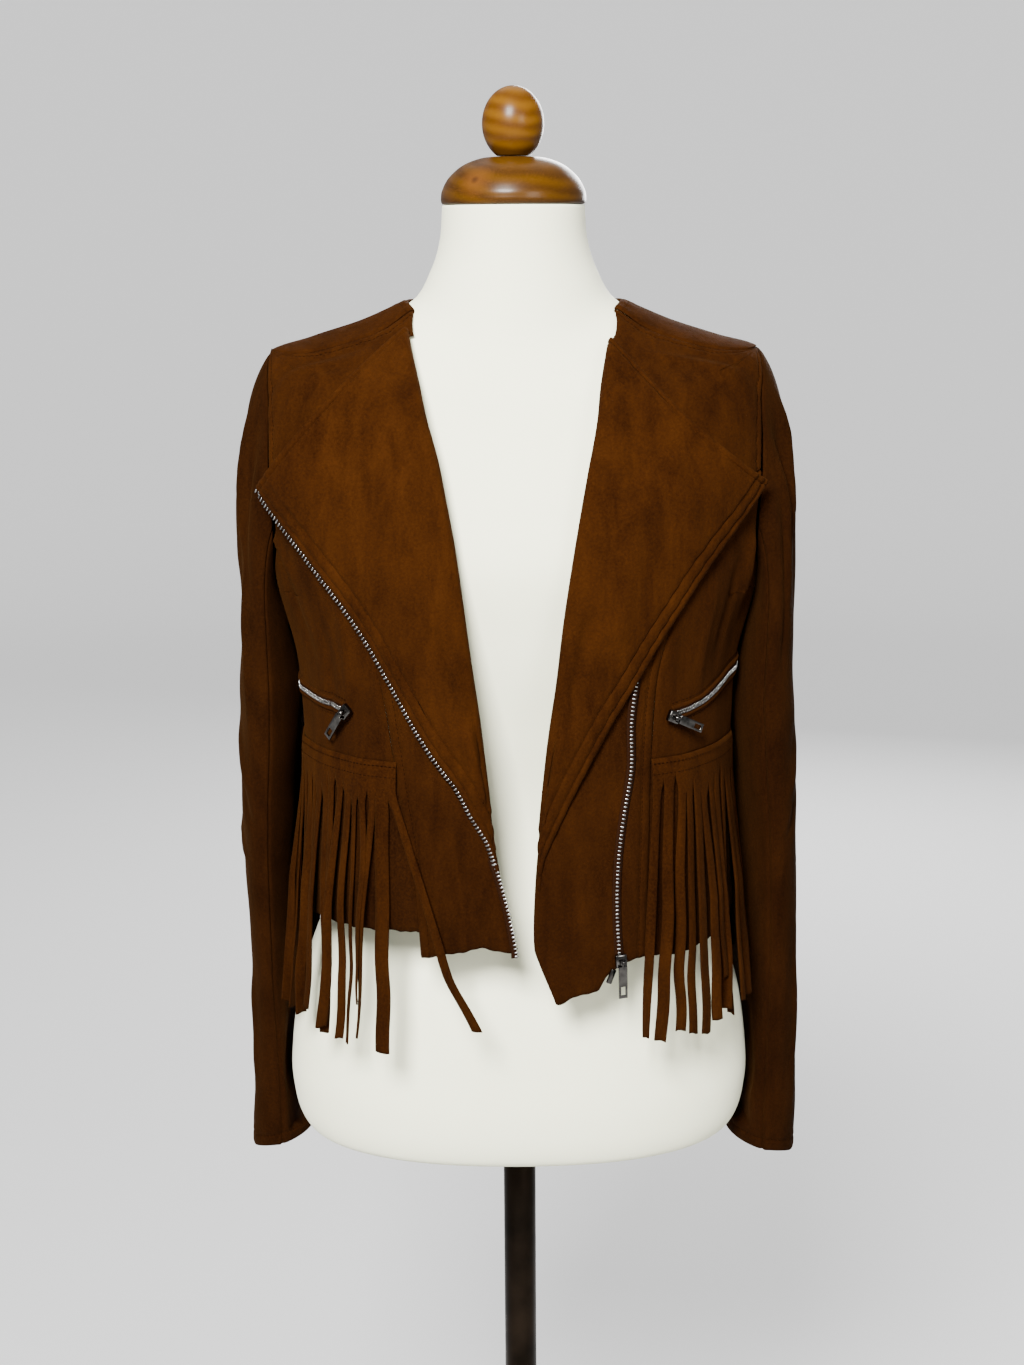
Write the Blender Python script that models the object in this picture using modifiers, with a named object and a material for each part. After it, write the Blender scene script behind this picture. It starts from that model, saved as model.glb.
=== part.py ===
"""A suede jacket with turned-back lapels and a fringe, worn by a limbless dress form on a stand.

Z is up and the jacket faces -Y. The stand's base rests on Z = 0 and its pole stands on X = Y = 0.
Lengths in the tables are millimetres. The wearer's right side is at -X and the left side at +X.

The form and the jacket's body are each one closed skin, given by level sections. A place on a skin
is a turn (degrees about Z: 0 is the front, 90 the wearer's left side, 180 the back) and a level
(a row of the table, read between its rows). Panels are cut from the jacket's skin along seams.
"""

import math

import bmesh
import bpy
import numpy as np
from mathutils import Matrix, Vector

MM = 0.001

# Walls and gaps
CLOTH = 1.4          # one layer of suede
FOLDED_CLOTH = 1.6   # a lapel: face and facing
SEAM_GAP = 0.5       # between two panels
REST_GAP = 0.4       # between a piece and what it lies on
TEETH_WIDTH = 4.0
TEETH_THICK = 1.5

# Stand and form
BASE_RADIUS = 150.0
BASE_THICK = 14.0
COLLAR_RADIUS = 20.0
COLLAR_TOP = 50.0
POLE_RADIUS = 13.0
FIT = 0.3
FORM_BOTTOM = 620.0
NECK_TOP = 1337.0
POLE_DEPTH_IN_FORM = 60.0

# Sections: half width; then depth at the front and back, each with its own height; then squareness
# half_width, z_side, front, z_front, back, z_back, power
FORM_SECTIONS = [
    (150, 620, 84, 620, 92, 620, 2.2),
    (166, 624, 98, 624, 107, 624, 2.3),
    (175, 635, 105, 635, 115, 635, 2.3),
    (180, 655, 109, 655, 119, 655, 2.3),
    (181, 685, 110, 685, 120, 685, 2.3),
    (172, 745, 107, 745, 114, 745, 2.3),
    (146, 820, 96, 820, 98, 820, 2.3),
    (125, 895, 86, 895, 84, 895, 2.3),
    (131, 960, 95, 960, 86, 960, 2.3),
    (143, 1030, 112, 1030, 92, 1030, 2.3),
    (151, 1085, 121, 1085, 98, 1085, 2.3),
    (160, 1130, 113, 1127, 100, 1130, 2.3),
    (168, 1170, 102, 1158, 97, 1165, 2.3),
    (166, 1205, 92, 1180, 89, 1192, 2.25),
    (144, 1236.2, 82, 1202, 79, 1218, 2.1),
    (108, 1253.2, 73, 1219, 69, 1244, 2.0),
    (75, 1269.2, 64, 1243, 58, 1264, 2.0),
    (61, 1291, 57, 1279, 54, 1289, 2.0),
    (54, 1313, 53, 1309, 51, 1312, 2.0),
    (52, 1337, 51, 1337, 50, 1337, 2.0),
]
JACKET_SECTIONS = [
    (173, 740, 152, 740, 124, 740, 2.5),
    (170, 780, 150, 780, 122, 780, 2.5),
    (167, 817, 148, 817, 120, 817, 2.5),
    (164, 880, 145, 880, 114, 880, 2.5),
    (162, 950, 140, 950, 109, 950, 2.5),
    (164, 1010, 138, 1010, 108, 1010, 2.5),
    (181, 1075, 135, 1072, 110, 1075, 2.5),
    (190, 1115, 130, 1108, 111, 1115, 2.5),
    (196, 1155, 124, 1138, 109, 1150, 2.5),
    (194, 1197, 115, 1165, 105, 1180, 2.4),
    (184, 1231, 105, 1190, 98, 1205, 2.25),
    (150, 1244, 94, 1206, 88, 1228, 2.1),
    (112, 1256, 84, 1222, 76, 1252, 2.0),
    (77, 1271, 72, 1238, 62, 1275, 2.0),
]

# Levels of the jacket's seams
HEM = 2.0
FRINGE_SEAM = 4.0
FRINGE_END = 0.05
FRINGE_DRIFT = {"right": 0.5, "left": 3.5}   # degrees to the front, per level below the hem
SIDE_COLUMNS = 8
BACK_COLUMNS = 19
NECK_EDGE = 12.95
FRONT_TOP = 12.6

# Armhole: a rounded loop about turn 90 or -90, read by an angle from the crown over the front
ARMHOLE_LEVEL = 8.0
ARMHOLE_HALF_HEIGHT = 2.2
ARMHOLE_HALF_TURN = 28.0
ARMHOLE_POWER = 2.3
ARMHOLE_STEP = 15
CROWN = ARMHOLE_LEVEL + ARMHOLE_HALF_HEIGHT
ARMHOLE_BOTTOM = ARMHOLE_LEVEL - ARMHOLE_HALF_HEIGHT - 0.01

# Front edges and princess seams: distance from the centre line, height
FRONT_EDGE = {
    "right": [(3, 816), (7, 841), (12, 869), (17, 898), (20, 930), (24, 965), (31, 1026),
              (45, 1121), (55, 1171), (67, 1217), (76, 1248)],
    "left": [(27, 776), (18, 803), (11, 819), (12, 869), (16, 917), (22, 979), (30, 1041),
             (43, 1121), (52, 1170), (60, 1210), (66, 1243)],
}
PRINCESS_SEAM = {
    "right": [(70, 809), (74, 860), (89, 956), (99, 1020), (122, 1078), (150, 1118), (176, 1151)],
    "left": [(92, 806), (94, 880), (96, 952), (102, 1020), (122, 1078), (150, 1118), (176, 1151)],
}
# Lapels: each row is a straight line of the lapel from its fold to its free edge
# fold_out, fold_z, edge_out, edge_z
LAPEL = {
    "right": [(76, 1250, 181, 1143), (70, 1226, 162, 1118), (62, 1195, 143, 1094),
              (53, 1160, 122, 1068), (46, 1125, 104, 1041), (39, 1085, 88, 1012),
              (34, 1045, 72, 982), (29, 1005, 57, 957), (24, 965, 42, 936), (20, 930, 32, 916)],
    "left": [(66, 1243, 177, 1144), (62, 1222, 161, 1122), (57, 1192, 144, 1101),
             (51, 1162, 128, 1080), (45, 1130, 113, 1058), (38, 1090, 98, 1035),
             (31, 1045, 82, 1008), (26, 1005, 66, 982), (21, 965, 47, 946), (16, 922, 29, 908)],
}
LAPEL_BOW = {"right": 6.0, "left": -7.0}   # how far the lapel's top edge curves up
ROLL = 3.0                                 # radius of the fold
FOLD_MARGIN_LEVELS = [3.6, 3.8, 7.0, 9.0, 11.0]
FOLD_MARGIN = {"right": [0, 1.55, 1.65, 2.9, 4.2], "left": [0, 2.4, 2.6, 3.6, 4.6]}   # in rolls
LAPEL_END_LIFT = 4.6
LAPEL_BELLY = 2.0
TIP_FORWARD = {"right": 18.0, "left": 7.0}  # the lapel's point rests forward, over the sleeve

# Zips: distance from the centre line, height
ZIP_ON_RIGHT_EDGE = [(16, 889), (12, 869), (7, 841), (3, 819)]
ZIP_IN_LEFT_FRONT = [(84, 1013), (80, 982), (80, 947), (75, 915), (71, 882), (70, 846), (72, 805)]
POCKET_ZIP = {
    "right": [(164, 996), (155, 990), (144, 988), (133, 987), (124, 985)],
    "left": [(164, 1007), (154, 999), (137, 989), (123, 985), (112, 983)],
}
ZIP_RISE = {"main": 0.7, "pocket_right": 0.0, "pocket_left": 1.15}   # under each band
# Sliders: distance out, height, then the pull tab's direction: out, up
SLIDERS = {
    "pocket_right": (-120, 985, -1.0, -0.9),
    "pocket_left": (108, 982, 1.0, -0.4),
    "main": (72, 808, 0.05, -1.0),
}
SLIDER_GAP = 0.7
SLIDER_SIZE = (8.6, 4.0, 10.0)     # across the tab, out of the cloth, along the tab
LUG_THICK = 1.1
LUG_SPREAD = 4.0                   # between the lugs' outer faces
PIN_RADIUS = 0.6
EYE_INNER = 0.95
EYE_OUTER = 1.8
EYE_WIDTH = 1.3
PIN_HEIGHT = 4.4                   # pin above the slider's middle
PULL_SIZE = (6.4, 1.2, 25.0)
PULL_WINDOW = (3.4, 7.0)
PULL_LEAN = 9.0                    # degrees the free end leans to the cloth

# Sleeves, by height: inner face, outer face, front, back
SLEEVE = {
    "right": [(600, 166, 217, 40, 58), (676, 168, 213, 46, 60), (760, 172, 210, 54, 62),
              (870, 172, 213, 60, 62), (980, 170, 211, 64, 62), (1060, 172, 206, 66, 62),
              (1130, 176, 205, 66, 62), (1240, 180, 203, 66, 62)],
    "left": [(592, 168, 224, 40, 58), (676, 170, 222, 46, 60), (760, 173, 219, 54, 62),
             (870, 173, 216, 60, 62), (980, 171, 211, 64, 62), (1060, 173, 208, 66, 62),
             (1130, 177, 206, 66, 62), (1240, 181, 203, 66, 62)],
}
CUFF_RISE = 12.0                   # the cuff is higher at the body
SETTLE = 34.0                      # below the armhole, the drop in which the sleeve finds its tube
SLEEVE_SEAM_ANGLE = 120
SLEEVE_INSET = {"top": 0.25, "under": 2.9}
SLEEVE_ROUNDING = 0.75
SLEEVE_SWING = 12.0                # the cuff hangs behind the armhole
SLEEVE_ROWS = [0, 0.015, 0.035, 0.065, 0.11, 0.17, 0.25, 0.36, 0.48, 0.6, 0.72, 0.84, 0.93, 1]
FORM_CLEARANCE = 4.0
FRINGE_CLEARANCE = 8.0

# Soft folds of the body: turn, half width in degrees, middle level, half height in levels, depth
FOLDS = [
    (-74, 5, 5.0, 1.3, 3.0),
    (-38, 5, 3.0, 1.8, 2.5),
    (42, 5, 2.8, 1.8, 2.5),
    (76, 5, 5.2, 1.3, 3.5),
    (125, 8, 4.5, 2.5, 4.0),
    (152, 7, 3.0, 2.0, 3.0),
    (205, 7, 3.4, 2.2, 3.0),
    (236, 8, 4.5, 2.5, 4.0),
]


def smooth_rows(table, position):
    """The rows of a table joined by a Catmull-Rom curve, read at row positions."""
    rows = np.asarray(table, float)
    last = len(rows) - 1
    position = np.clip(np.asarray(position, float), 0, last)
    index = np.minimum(position.astype(int), last - 1)
    part = (position - index)[..., None]
    around = np.vstack([2 * rows[0] - rows[1], rows, 2 * rows[-1] - rows[-2]])
    before, start, end, after = (around[index + k] for k in range(4))
    linear = (end - before) * part
    square = (2 * before - 5 * start + 4 * end - after) * part ** 2
    cube = (3 * start - before - 3 * end + after) * part ** 3
    return 0.5 * (2 * start + linear + square + cube)


def section_point(sections, turn, level):
    """Superellipse sections: x and y by turn, z running from the side to the front or back."""
    turn, level = np.broadcast_arrays(np.radians(turn), np.asarray(level, float))
    row = smooth_rows(sections, level)
    half_width, z_side, front, z_front, back, z_back, power = np.moveaxis(row, -1, 0)
    sine, cosine = np.sin(turn), np.cos(turn)
    ahead = cosine > 0
    x = half_width * np.sign(sine) * np.abs(sine) ** (2 / power)
    y = np.where(ahead, -front, back) * np.abs(cosine) ** (2 / power)
    z = z_side + (np.where(ahead, z_front, z_back) - z_side) * cosine ** 2
    return np.stack([x, y, z], -1)


def fold_height(turn, level):
    """The body's soft folds: bell-shaped ridges in turn and level."""
    height = 0.0
    for middle, half_turn, middle_level, half_level, depth in FOLDS:
        away = (np.asarray(turn) - middle + 180) % 360 - 180
        across = np.exp(-(away / half_turn) ** 2)
        along = np.exp(-((np.asarray(level) - middle_level) / half_level) ** 2)
        height = height + depth * across * along
    return height


def outward(sections, turn, level):
    """Unit normal of a skin, from small steps in turn and level."""
    around = section_point(sections, turn + 0.2, level) - section_point(sections, turn - 0.2, level)
    up = section_point(sections, turn, level + 0.03) - section_point(sections, turn, level - 0.03)
    normal = np.cross(around, up)
    return normal / np.linalg.norm(normal, axis=-1, keepdims=True)


def on_jacket(turn, level, out=0.0):
    """A point of the jacket's skin, moved out along its normal."""
    turn, level, out = np.broadcast_arrays(np.asarray(turn, float), level, out)
    level = np.clip(level, 0.04, len(JACKET_SECTIONS) - 1.04)
    reach = (out + fold_height(turn, level))[..., None]
    return section_point(JACKET_SECTIONS, turn, level) + reach * outward(JACKET_SECTIONS, turn, level)


def locate(x, z):
    """Turn and level of the point on the jacket's front that has this x and z, by halving."""
    x, z = np.broadcast_arrays(np.asarray(x, float), np.asarray(z, float))
    low = np.zeros(x.shape)
    high = np.full(x.shape, len(JACKET_SECTIONS) - 1.0)
    for _ in range(40):
        level = (low + high) / 2
        row = smooth_rows(JACKET_SECTIONS, level)
        share = np.clip(np.abs(x) / row[..., 0], 0, 1) ** (row[..., 6] / 2)
        turn = np.degrees(np.arcsin(share)) * np.sign(x)
        below = section_point(JACKET_SECTIONS, turn, level)[..., 2] < z
        low = np.where(below, level, low)
        high = np.where(below, high, level)
    return turn, level


def seam_turn(points, side, level):
    """The turn of a seam, given by distance-and-height points, at each level."""
    along = smooth_rows(points, np.linspace(0, len(points) - 1, 8 * len(points)))
    turn, at_level = locate(along[:, 0] * side, along[:, 1])
    order = np.argsort(at_level)
    return np.interp(level, at_level[order], turn[order])


def armhole_reach(level):
    """How many degrees the armhole reaches to each side of its middle at a level."""
    share = np.clip(np.abs(level - ARMHOLE_LEVEL) / ARMHOLE_HALF_HEIGHT, 0, 1)
    return ARMHOLE_HALF_TURN * (1 - share ** ARMHOLE_POWER) ** (1 / ARMHOLE_POWER)


def armhole_levels(from_angle, to_angle):
    """Levels of the armhole's points between two angles from the crown."""
    angles = np.arange(from_angle, to_angle - 1, -ARMHOLE_STEP)
    return ARMHOLE_LEVEL + ARMHOLE_HALF_HEIGHT * np.cos(np.radians(angles))


def yoke_seam_turn(level):
    """The forward shoulder seam: from the armhole's crown, along the shoulder, to the neck."""
    levels = [10.2, 10.3, 10.45, 10.7, 11.2, 11.8, 12.3, 12.75]
    turns = [86, 77, 71, 67, 64.5, 63, 63.5, 67]
    return np.interp(level, levels, turns)


def inset(grid, sides, distance):
    """Draws the named edges of a grid of points in by a distance."""
    grid = grid.copy()
    views = {"first_column": grid.transpose(1, 0, 2), "last_column": grid.transpose(1, 0, 2)[::-1],
             "first_row": grid, "last_row": grid[::-1]}
    for side in sides:
        lines = views[side]
        step = lines[1] - lines[0]
        lines[0] += step / np.linalg.norm(step, axis=-1, keepdims=True) * distance
    return grid


ALL_SIDES = ("first_column", "last_column", "first_row", "last_row")


def new_object(name, mesh, material):
    """Adds a mesh to the part's collection with its material."""
    mesh.materials.append(material)
    thing = bpy.data.objects.new(name, mesh)
    parts.objects.link(thing)
    return thing


def grid_faces(rows, columns):
    """Quads of a grid, anticlockwise where rows go up and columns go to the right."""
    corner = (np.arange(rows - 1)[:, None] * columns + np.arange(columns - 1)).ravel()
    return np.stack([corner, corner + 1, corner + columns + 1, corner + columns], -1)


def add_shell(name, grid, material, wall=CLOTH, place=-1.0):
    """An open sheet of points in millimetres, thickened with Solidify."""
    rows, columns, _ = grid.shape
    mesh = bpy.data.meshes.new(name)
    mesh.from_pydata((grid.reshape(-1, 3) * MM).tolist(), [], grid_faces(rows, columns).tolist())
    mesh.shade_smooth()
    thing = new_object(name, mesh, material)
    solidify = thing.modifiers.new("Wall", "SOLIDIFY")
    solidify.thickness = wall * MM
    solidify.offset = place
    solidify.use_even_offset = True
    return thing


def add_panel(name, levels, from_turn, to_turn, columns, material, hem=None):
    """A panel of the jacket's skin between two seams; below the fringe seam it follows its hem."""
    across = np.linspace(0, 1, columns)
    turn = from_turn[:, None] + (to_turn - from_turn)[:, None] * across
    level = np.repeat(levels[:, None], columns, 1)
    if hem is not None:
        share = np.clip((FRINGE_SEAM - level) / (FRINGE_SEAM - HEM), 0, 1)
        level = level + (hem(turn) - HEM) * share
    grid = on_jacket(turn, level)
    return add_shell(name, inset(grid, ALL_SIDES, SEAM_GAP / 2), material)


LOWER_LEVELS = np.array([HEM, 2.6, 3.2, FRINGE_SEAM])
FRINGE_LEVELS = np.array([FRINGE_END, 1.0, HEM, 2.6, 3.2, FRINGE_SEAM + 0.03])
WAIST_LEVELS = np.array([FRINGE_SEAM, 4.5, 5.0, 5.4])
SHOULDER_LEVELS = np.array([10.3, 10.45, 10.7, 11.2, 11.8, 12.3])


def right_hem(turn):
    """The right front's hem dips a little towards the side."""
    return np.interp(np.abs(turn), [0, 12, 25, 90], [2.0, 2.0, 1.75, 2.0])


def left_hem(turn):
    """The left front's hem drops to a long corner at the front edge."""
    return np.interp(turn, [0, 6, 14, 18, 22, 90], [1.25, 0.95, 1.1, 1.6, 1.85, 2.0])


HEMS = {"right": right_hem, "left": left_hem}
SIDES = {"right": -1, "left": 1}


def princess_turn(name, side, level):
    """The princess seam, which ends at the middle of the armhole's front."""
    limit = 90 - np.where(level < ARMHOLE_BOTTOM, 0, armhole_reach(level)) - 2.5
    return side * np.minimum(np.abs(seam_turn(PRINCESS_SEAM[name], side, level)), limit)


def front_panels(name, side, suede):
    """Centre front, and the front's side above and below the fringe seam."""
    upper = armhole_levels(180, 0)
    levels = np.concatenate([LOWER_LEVELS, WAIST_LEVELS[1:], upper, SHOULDER_LEVELS, [FRONT_TOP]])
    tucked = ROLL * np.interp(levels, FOLD_MARGIN_LEVELS, FOLD_MARGIN[name])
    edge = seam_turn(FRONT_EDGE[name], side, levels)
    edge_point = on_jacket(edge, levels)
    step = np.linalg.norm(on_jacket(edge + side, levels) - edge_point, axis=-1)
    edge = edge + side * tucked / step
    yoke_seam = yoke_seam_turn(levels) - 0.8
    seam = side * np.where(levels > CROWN - 0.01, yoke_seam, 90 - armhole_reach(levels))
    outer = np.where(levels < ARMHOLE_LEVEL + 0.01, princess_turn(name, side, levels), seam)
    first, last = (outer, edge) if side < 0 else (edge, outer)
    add_panel(f"front_{name}", levels, first, last, 7, suede, HEMS[name])
    side_levels = np.concatenate([WAIST_LEVELS, armhole_levels(180, 90)])
    for label, rows in (("upper", side_levels), ("lower", LOWER_LEVELS)):
        outer = side * (90 - np.where(rows < ARMHOLE_BOTTOM, 0, armhole_reach(rows)))
        inner = princess_turn(name, side, rows)
        first, last = (outer, inner) if side < 0 else (inner, outer)
        add_panel(f"front_side_{label}_{name}", rows, first, last, SIDE_COLUMNS, suede, HEMS[name])


def back_panels(suede):
    """The yoke over both shoulders, and the back above and below the fringe seam."""
    columns = BACK_COLUMNS
    levels = np.concatenate([armhole_levels(75, 0), SHOULDER_LEVELS, [FRONT_TOP, NECK_EDGE]])
    reach = np.where(levels > CROWN + 0.01, yoke_seam_turn(levels) - 90, armhole_reach(levels))
    add_panel("back_yoke", levels, 90 + reach, 270 - reach, columns, suede)
    levels = np.concatenate([WAIST_LEVELS, armhole_levels(180, 75)])
    reach = np.where(levels < ARMHOLE_BOTTOM, 0, armhole_reach(levels))
    add_panel("back_upper", levels, 90 + reach, 270 - reach, columns, suede)
    zero = np.zeros(len(LOWER_LEVELS))
    add_panel("back_lower", LOWER_LEVELS, zero + 90, zero + 270, columns, suede)


def tip_fade(count):
    """How strongly each row of a lapel, from the top down, takes part in the shape of its point."""
    return np.exp(-5.6 * np.linspace(0, 1, count))


def lapel_grid(name, side, across, count=15):
    """Points of a lapel: a half-round roll at the fold, then flat over the front to its free edge.

    `across` runs from -1 (the seam under the fold) to 0 (the top of the roll) to 1 (the free edge).
    """
    rows = smooth_rows(LAPEL[name], np.linspace(0, len(LAPEL[name]) - 1, count))
    fold_out, fold_z, edge_out, edge_z = rows.T[..., None]
    fold = on_jacket(*locate(fold_out * side, fold_z))
    edge = on_jacket(*locate(edge_out * side, edge_z))
    width = np.linalg.norm(edge - fold, axis=-1)
    roll = ROLL * np.clip(width / 34, 0.45, 1)
    around = np.clip(-across, 0, 1) * 1.25 * math.pi
    curled = np.minimum(around, math.pi)
    straight = np.maximum(around - math.pi, 0)
    along = roll * (1.25 - np.sin(curled) + straight)
    rise = roll * (1 + np.cos(curled)) - CLOTH / 2
    flat = np.clip(across, 0, 1)
    start = roll * 1.25
    along = np.where(across > 0, start + (width - start) * flat, along)
    top = 2 * roll - CLOTH / 2
    lying = top + (LAPEL_END_LIFT - top) * flat + LAPEL_BELLY * 4 * flat * (1 - flat)
    rise = np.where(across > 0, lying, rise)
    share = along / width
    beside = (fold_out + (edge_out - fold_out) * share) * side
    place = locate(beside, fold_z + (edge_z - fold_z) * share)
    fade = tip_fade(count)[:, None]
    bow = LAPEL_BOW[name] * 4 * flat * (1 - flat) * fade
    point = on_jacket(*place, rise)
    point[..., 1] -= TIP_FORWARD[name] * fade * flat ** 2
    point[..., 2] += bow
    return point


def add_lapel(name, side, suede):
    """The turned-back front edge, two layers of suede."""
    across = np.array([-1, -0.8, -0.6, -0.4, -0.2, 0, 0.15, 0.3, 0.45, 0.6, 0.73, 0.86, 1.0])
    grid = lapel_grid(name, side, across)
    if side > 0:
        grid = grid[::-1]
    else:
        grid = grid[::-1, ::-1]
    add_shell(f"lapel_{name}", grid, suede, FOLDED_CLOTH, 0.0)


def strip(name, points, side, low, high, out, material, count=14, forward=0.0):
    """A band along a line of distance-and-height points, from `low` to `high` beside the line."""
    along = smooth_rows(points, np.linspace(0, len(points) - 1, count))
    line = np.stack([along[:, 0] * side, along[:, 1]], -1)
    tangent = np.gradient(line, axis=0)
    tangent /= np.linalg.norm(tangent, axis=-1, keepdims=True)
    beside = np.stack([-tangent[:, 1], tangent[:, 0]], -1)
    edges = [line + beside * shift for shift in (low, (low + high) / 2, high)]
    grid = np.stack([on_jacket(*locate(edge[:, 0], edge[:, 1]), out) for edge in edges])
    grid[..., 1] -= forward
    return add_shell(name, grid if grid_faces_out(grid) else grid[::-1], material, TEETH_THICK)


def grid_faces_out(grid):
    """Whether a grid of points on the front faces away from the body."""
    normal = np.cross(grid[0, 1] - grid[0, 0], grid[1, 0] - grid[0, 0])
    return normal @ np.array([grid[0, 0, 0], grid[0, 0, 1], 0]) > 0


def zips(metal):
    """The halves of the main zip and the two pocket zips, as plain bands."""
    edge = smooth_rows(LAPEL["right"], np.linspace(0, len(LAPEL["right"]) - 1, 30))[:, 2:]
    low = SEAM_GAP
    lapel_out = LAPEL_END_LIFT + TEETH_THICK / 2
    forward = TIP_FORWARD["right"] * tip_fade(24)
    strip("zip_lapel_right", edge, -1, -low - TEETH_WIDTH, -low, lapel_out, metal, 24, forward)
    strip("zip_edge_right", ZIP_ON_RIGHT_EDGE, -1, low, low + TEETH_WIDTH, 0, metal, 7)
    half = TEETH_WIDTH / 2
    strip("zip_front_left", ZIP_IN_LEFT_FRONT, 1, -half, half, ZIP_RISE["main"] + TEETH_THICK, metal)
    for name, side in SIDES.items():
        rise = ZIP_RISE[f"pocket_{name}"] + TEETH_THICK
        strip(f"zip_pocket_{name}", POCKET_ZIP[name], side, -half, half, rise, metal)


def half_width_at(sections, y, z):
    """Half width of a skin at a depth and a height; zero in front of it and behind it."""
    heights = np.array([row[1] for row in sections], float)
    row = smooth_rows(sections, np.interp(z, heights, np.arange(len(heights))))
    depth = np.where(y < 0, row[..., 2], row[..., 4])
    share = np.clip(np.abs(y) / depth, 0, 1)
    return row[..., 0] * (1 - share ** row[..., 6]) ** (1 / row[..., 6])


def sleeve_stop(y, z):
    """How near the middle a sleeve may hang: clear of the form's hips and of the fringe."""
    form = np.where(z > FORM_BOTTOM, half_width_at(FORM_SECTIONS, y, z) + FORM_CLEARANCE, 0)
    body = np.where(z > FORM_BOTTOM, half_width_at(JACKET_SECTIONS, y, z) + FRINGE_CLEARANCE, 0)
    return np.maximum(form, np.where(z < 1000, body, 0))


def sleeve_grid(name, side, angles):
    """Points of a sleeve: each line leaves its point of the armhole and sinks into a hanging tube."""
    angle = np.radians(angles)
    level = ARMHOLE_LEVEL + (ARMHOLE_HALF_HEIGHT - 0.02) * np.cos(angle)
    reach = (ARMHOLE_HALF_TURN - 0.3) * np.sign(np.sin(angle))
    reach = reach * (1 - np.abs(np.cos(angle)) ** ARMHOLE_POWER) ** (1 / ARMHOLE_POWER)
    start = on_jacket(side * (90 - reach), level)
    rows = np.asarray(SLEEVE_ROWS)[:, None]
    low = SLEEVE[name][0][0] + CUFF_RISE * (1 - np.cos(angle)) / 2
    z = start[:, 2] + (low - start[:, 2]) * rows
    heights = [row[0] for row in SLEEVE[name]]
    tube = smooth_rows(SLEEVE[name], np.interp(z, heights, np.arange(len(heights))))
    inner, outer, front, back = (tube[..., k] for k in range(1, 5))
    turned = angle - np.radians(28) * np.sin(angle) * np.abs(np.sin(angle))
    half_width, middle = (outer - inner) / 2, (outer + inner) / 2
    x = middle + half_width * np.sign(np.cos(turned)) * np.abs(np.cos(turned)) ** SLEEVE_ROUNDING
    y = np.sign(np.sin(turned)) * np.abs(np.sin(turned)) ** SLEEVE_ROUNDING
    y = -np.where(y > 0, front, back) * y + SLEEVE_SWING * rows
    x = np.maximum(x, sleeve_stop(y, z) + (x - inner) * 0.25)
    settled = 1 - np.exp(-(start[:, 2] - z) / SETTLE)
    x = start[:, 0] * side + (x - start[:, 0] * side) * settled
    y = start[:, 1] + (y - start[:, 1]) * settled
    return np.stack([x * side, y, z], -1)


def add_sleeve(name, side, suede):
    """Top and under piece of a sleeve, with a seam down the front and one behind."""
    seam = SLEEVE_SEAM_ANGLE
    spans = {"top": np.arange(-seam, seam + 1, ARMHOLE_STEP),
             "under": np.arange(seam, 360 - seam + 1, ARMHOLE_STEP)}
    for label, angles in spans.items():
        grid = sleeve_grid(name, side, angles.astype(float))
        grid = inset(grid, ("first_column", "last_column"), SLEEVE_INSET[label])
        grid = grid[::-1, ::-1] if side > 0 else grid[::-1]
        add_shell(f"sleeve_{label}_{name}", grid, suede)


def add_fringe(name, first, last, columns, suede):
    """The reach of a fringe: a plain sheet that hangs over the panels below the fringe seam."""
    across = np.linspace(0, 1, columns)
    turn = first[:, None] + (last - first)[:, None] * across
    lift = REST_GAP + CLOTH + 0.8 * (FRINGE_LEVELS[-1] - FRINGE_LEVELS)
    grid = on_jacket(turn, FRINGE_LEVELS[:, None], lift[:, None])
    add_shell(name, inset(grid, ("first_column", "last_column"), SEAM_GAP / 2), suede)


def fringes(suede):
    """The fringe hangs from the princess seams round the sides and the back."""
    flat = np.zeros(len(FRINGE_LEVELS))
    for name, side in SIDES.items():
        drift = np.clip(HEM - FRINGE_LEVELS, 0, 2) * FRINGE_DRIFT[name]
        inner = seam_turn(PRINCESS_SEAM[name], side, FRINGE_LEVELS) - side * drift
        first, last = (flat - 90, inner) if side < 0 else (inner, flat + 90)
        add_fringe(f"fringe_{name}", first, last, SIDE_COLUMNS, suede)
    add_fringe("fringe_back", flat + 90, flat + 270, BACK_COLUMNS, suede)


def boolean(target, tool, operation):
    """Adds a Boolean with a tool object, which is kept as a hidden cutter."""
    tool.hide_render = True
    tool.display_type = "WIRE"
    change = target.modifiers.new(tool.name, "BOOLEAN")
    change.operation = operation
    change.object = tool
    return change


def box_mesh(name, size, centre):
    """A box as a mesh, in millimetres."""
    mesh = bpy.data.meshes.new(name)
    build = bmesh.new()
    place = Matrix.Translation(Vector(centre) * MM) @ Matrix.Diagonal((*(Vector(size) * MM), 1))
    bmesh.ops.create_cube(build, size=1, matrix=place)
    build.to_mesh(mesh)
    build.free()
    return mesh


def rod_mesh(name, radius, length, centre, turned=(0, 90), segments=20):
    """A cylinder as a mesh, along X unless turned (degrees about X, then Y)."""
    mesh = bpy.data.meshes.new(name)
    build = bmesh.new()
    about_x, about_y = (math.radians(angle) for angle in turned)
    spin = Matrix.Rotation(about_x, 4, "X") @ Matrix.Rotation(about_y, 4, "Y")
    place = Matrix.Translation(Vector(centre) * MM) @ spin
    bmesh.ops.create_cone(build, cap_ends=True, segments=segments, radius1=radius * MM,
                          radius2=radius * MM, depth=length * MM, matrix=place)
    build.to_mesh(mesh)
    build.free()
    return mesh


def add_tool(mesh, parent):
    """A cutter or a piece to be joined, kept in the cutters' collection."""
    tool = bpy.data.objects.new(mesh.name, mesh)
    cutters.objects.link(tool)
    tool.parent = parent
    return tool


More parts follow.
